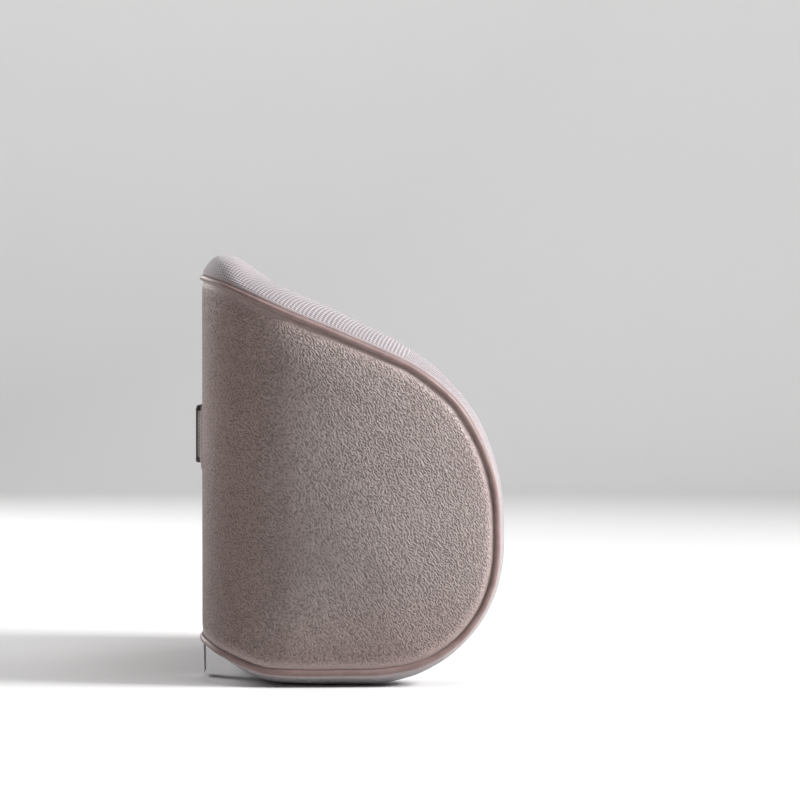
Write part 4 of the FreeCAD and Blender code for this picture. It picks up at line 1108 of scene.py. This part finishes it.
def grained_leatherette():
    n = Nodes(specular=0.4, sheen=0.1)
    where = n.node("Mapping", {"Vector": n.place(rotation=(40, 0, 0)), "Scale": (1.0, 1.0, 0.62)})
    worms = n.noise(where, 1.2, 0.7, 0.4, 0.3)
    ridge = n.remap(worms, 0.31, 0.66)
    fine = n.noise(where, 0.4)
    seam = n.from_seam()
    # the grain is shallower near the seam and in soft patches
    uneven = n.remap(n.noise(where, 3.4, 1.0, 0.4), 0.25, 0.6, 0.8, 1.0)
    shown = n.times(n.remap(seam, 0.003, 0.010, 0.12, 1.0), uneven)
    straight = n.place()
    base = n.clouded(straight, 60, (140, 127, 124), (149, 137, 134), 3.0, 0.55)
    # painted shade: the leatherette turns more pink towards the back and along the bottom, partly its own
    # tint and partly painted warm shade, and it is darker low at the rear, which is painted shade
    _, y, z = n.node("SeparateXYZ", {0: straight}).node.outputs
    rearward = n.remap(y, 0.015, 0.1, 0.0, 0.7)
    # painted shade: this mask darkens the leatherette low at the rear
    low_rear_painted_shade = n.times(rearward, n.remap(z, 0.24, 0.06))
    # the darker of these two colours is the painted shade low at the rear
    pink_tint_and_painted_shade = n.mix(low_rear_painted_shade, (148, 119, 112), (126, 100, 94))
    base = n.mix(n.math("MAXIMUM", rearward, n.remap(z, 0.09, 0.01, 0.0, 0.5)), base, pink_tint_and_painted_shade)
    margin = n.mix(n.remap(seam, 0.001, 0.014), (170, 152, 149), base)
    pits = n.times(n.remap(worms, 0.50, 0.35), shown)
    colour = n.mix(n.times(pits, 0.55), margin, (84, 69, 67))
    rough = n.remap(ridge, 0.0, 1.0, 0.68, 0.42, "LINEAR")
    normal = n.bump(n.times(ridge, shown), 1.15)
    return n.finish(colour, n.bump(fine, 0.03, normal), rough)


def smooth_leatherette():
    n = Nodes(specular=0.45, sheen=0.08)
    where = n.place()
    fine = n.noise(where, 0.7, 3.0)
    tone = n.clouded(where, 14, (120, 98, 95), (136, 114, 111))
    return n.speckled(tone, fine, 0.07, 0.42, 0.56)


HOLE_PITCH, HOLE_STRETCH = 2.3, 1.3  # spacing of the mesh's holes across, and how much more it is along
RIB_PITCH = 0.75


def spacer_mesh():
    n = Nodes(specular=0.28, sheen=0.35, sheen_roughness=0.4)
    pattern = n.node("UVMap", uv_map="pattern")
    pitch = (1000 / HOLE_PITCH, 1000 / (HOLE_PITCH * HOLE_STRETCH), 1.0)
    scaled = n.node("Mapping", {"Vector": pattern, "Scale": pitch})

    def from_hole(offset):
        part = n.vector("FRACTION", n.vector("ADD", scaled, (offset, offset, 0.0)))
        centred = n.vector("SUBTRACT", part, (0.5, 0.5, 0.0))
        return n.vector("LENGTH", n.vector("MULTIPLY", centred, (1.0, 0.95, 0.0)), output="Value")

    hole = n.remap(n.math("MINIMUM", from_hole(0.0), from_hole(0.5)), 0.34, 0.16)
    seam = n.from_seam()
    hole = n.times(hole, n.remap(seam, 0.0042, 0.006))  # the turned edge has no holes
    waves = {"Vector": pattern, "Scale": 1000 / RIB_PITCH / 20 * 3.14159, "Distortion": 0.6, "Detail": 1.0}
    ribs = n.node("TexWave", waves, "Fac", bands_direction="X")
    yarn = n.noise(pattern, 0.5)
    base = n.clouded(n.place(), 40, (168, 161, 164), (176, 169, 172))
    base = n.mix(n.remap(seam, 0.001, 0.0085), (166, 149, 148), base)
    base = n.mix(n.times(yarn, 0.14), base, (160, 150, 154))
    colour = n.mix(n.times(hole, 0.7), base, (108, 99, 105))
    threads_up = n.math("ADD", n.times(ribs, 0.10), n.times(yarn, 0.16))
    surface = n.math("ADD", n.math("SUBTRACT", 1.0, hole), threads_up)
    return n.finish(colour, n.bump(surface, 0.5), 0.78)


def woven(light, dark, rib, across, roughness=0.75, uv=None, depth=0.12):
    """A ribbed weave: ribs along one direction, threads across them. Sizes are in millimetres."""
    n = Nodes(specular=0.3, sheen=0.2)
    where = n.place(uv=uv)
    x, y, z = n.node("SeparateXYZ", {0: where}).node.outputs
    ribs, picks = (
        n.math("SINE", n.times(way, 2 * math.pi / (pitch * MM)))
        for way, pitch in ((x, rib), (y if uv else z, across))
    )
    weave = n.remap(n.times(ribs, picks), -0.8, 0.8)
    height = n.math("ADD", weave, n.times(n.noise(where, 0.6, 3.0), 0.5))
    colour = n.mix(n.times(n.noise(where, 11), 0.3), n.mix(weave, dark, light), dark)
    return n.finish(colour, n.bump(height, depth), roughness)


def moulded(colour, roughness=0.42):
    n = Nodes()
    where = n.place()
    spark = n.noise(where, 0.35)
    tone = n.clouded(where, 8, *around(colour, 4, 5))
    return n.speckled(tone, spark, 0.04, roughness - 0.05, roughness + 0.1)


def plated(colour, roughness=0.28):
    n = Nodes(metallic=1.0)
    scratches = n.noise(n.place(scale=(0.25, 1.0, 1.0)), 0.25, 3.0)
    tone = n.clouded(n.place(), 3.0, *around(colour, 16, 0), detail=3.0, low=0.35)
    return n.speckled(tone, scratches, 0.012, roughness - 0.06, roughness + 0.1)


def memory_foam():
    n = Nodes(specular=0.2)
    pores = n.node("TexVoronoi", {"Vector": n.place(), "Scale": 1 / 0.0012}, "Distance")
    height = n.remap(pores, 0.1, 0.5)
    return n.finish(n.mix(height, (196, 190, 176), (226, 221, 208)), n.bump(height, 0.3), 0.9)


def sewing_thread():
    n = Nodes(specular=0.35, sheen=0.15)
    ply = n.noise(n.place(rotation=(0, 0, 40)), 0.25, 1.0)
    return n.finish(n.mix(ply, (168, 150, 146), (204, 188, 184)), n.bump(ply, 0.05), 0.6)


# each slot's material, and the pieces that take their finish from it
SLOTS = {
    "grained_leatherette": (grained_leatherette(), outer_panel, zip_stitches),
    "smooth_leatherette": (
        smooth_leatherette(), piping, anchor_left, anchor_right, anchor_stitches_left, anchor_stitches_right,
    ),
    "spacer_mesh": (
        spacer_mesh(), front_centre, wing_left, wing_right, seam_stitches_left, seam_stitches_right,
    ),
    "memory_foam": (memory_foam(), foam),
    "liner_cloth": (woven((224, 221, 216), (190, 186, 180), 0.7, 0.7), liner_back, liner_front),
    "cord_core": (woven((214, 208, 198), (176, 168, 158), 1.1, 1.1), cord),
    "zip_tape": (woven((116, 101, 99), (84, 71, 70), 1.5, 0.8, depth=0.08), tape_upper, tape_lower),
    "zip_coil": (moulded((104, 91, 89), 0.34), coil_upper, coil_lower),
    "zip_metal": (plated((172, 166, 162)), zip_slider, zip_pull),
    "stop_metal": (plated((166, 160, 156), 0.34), top_stops, bottom_stop),
    "webbing": (
        woven((104, 92, 90), (60, 51, 50), 2.4, 1.5, uv="pattern", depth=0.28),
        strap_left, strap_right, strap_stitches_left, strap_stitches_right,
    ),
    "buckle_plastic": (moulded((62, 56, 56)), socket, buckle_plug, latches),
    "label_satin": (woven((232, 229, 226), (212, 208, 204), 0.5, 0.35, 0.42, depth=0.03), label),
}
MOVING = {
    zip_slider: "zip_slider_body", zip_pull: "zip_pull_body", buckle_plug: PLUG_BODY, latches: PLUG_BODY,
}
BLENDED = strap_right, strap_stitches_right
thread = sewing_thread()
thread.name = "sewing_thread"

for slot, (material, *pieces) in SLOTS.items():
    material.name = slot
    for piece in pieces:
        stitches = "stitches" in piece.name
        piece.data.materials.clear()
        piece.data.materials.append(thread if stitches else material)
        if not stitches:  # it stands for the CAD node of the same name
            node = piece.name.split(".")[0]
            piece.name = node + "_piece"
            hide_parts(node)
        if piece not in BLENDED:
            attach(piece, MOVING.get(piece, ROOT))
for piece in BLENDED:
    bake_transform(piece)

# -------- floor, light and camera
COVE_SIDES, COVE_R, COVE_START, COVE_TOP = 96, 1.0, 3.6, 1.7
FLOOR_DROP = 0.0006
cove = [(0.00001, 0.0), (1.5, 0.0), (COVE_START, 0.0)]
bends = np.linspace(0.1, math.pi / 2, 12)
cove += [(COVE_START + math.sin(t) * COVE_R, COVE_R - math.cos(t)) for t in bends] + [(4.6, COVE_TOP)]
floor_points = [
    (r * math.cos(t), r * math.sin(t), z - FLOOR_DROP)
    for r, z in cove
    for t in np.arange(COVE_SIDES) * 2 * math.pi / COVE_SIDES
]
floor = make_mesh("floor", np.array(floor_points) / MM, tube_quads(len(cove), COVE_SIDES, False, inside=True))
floor.data.materials.append(Nodes(roughness=0.9, specular=0.1).finish((0.74, 0.74, 0.74, 1)))

scene = bpy.context.scene
world = bpy.data.worlds.new("studio")
world.use_nodes = True
colour, strength = world.node_tree.nodes["Background"].inputs[:2]
colour.default_value, strength.default_value = (1.0, 0.95, 0.935, 1), 0.11
scene.world = world
scene.view_settings.view_transform = "Standard"


def lamp(name, place, target, size, power):
    data = bpy.data.lights.new(name, "AREA")
    data.size, data.energy = size, power
    obj = add_object(name, data)
    obj.location = place
    obj.rotation_euler = (Vector(target) - Vector(place)).to_track_quat("-Z", "Y").to_euler()


CENTRE = (0.0, -0.02, 0.16)
lamp("key", (-0.6, -2.2, 1.5), CENTRE, 0.9, 120)
lamp("top", (-0.5, -0.5, 2.4), CENTRE, 1.2, 22)
lamp("front_right", (1.6, -1.7, 1.3), CENTRE, 1.4, 10)
lamp("rear_fill", (2.0, 1.9, 1.5), CENTRE, 1.4, 66)
lamp("backdrop", (2.3, 0.0, 2.4), (4.6, 0.0, 0.9), 1.6, 24)

camera_data = bpy.data.cameras.new("camera")
camera = add_object("camera", camera_data)
AIM = Vector((-0.205, -0.0435, 0.2202))
ELEVATION, DISTANCE, FRAME_WIDTH, SENSOR = math.radians(0.8), 2.8, 0.616, 36
camera_data.sensor_width, camera_data.lens = SENSOR, SENSOR * DISTANCE / FRAME_WIDTH
camera_data.clip_end = 50
camera.location = AIM + Vector((-math.cos(ELEVATION), 0, math.sin(ELEVATION))) * DISTANCE
camera.rotation_euler = (AIM - camera.location).to_track_quat("-Z", "Y").to_euler()
scene.camera = camera
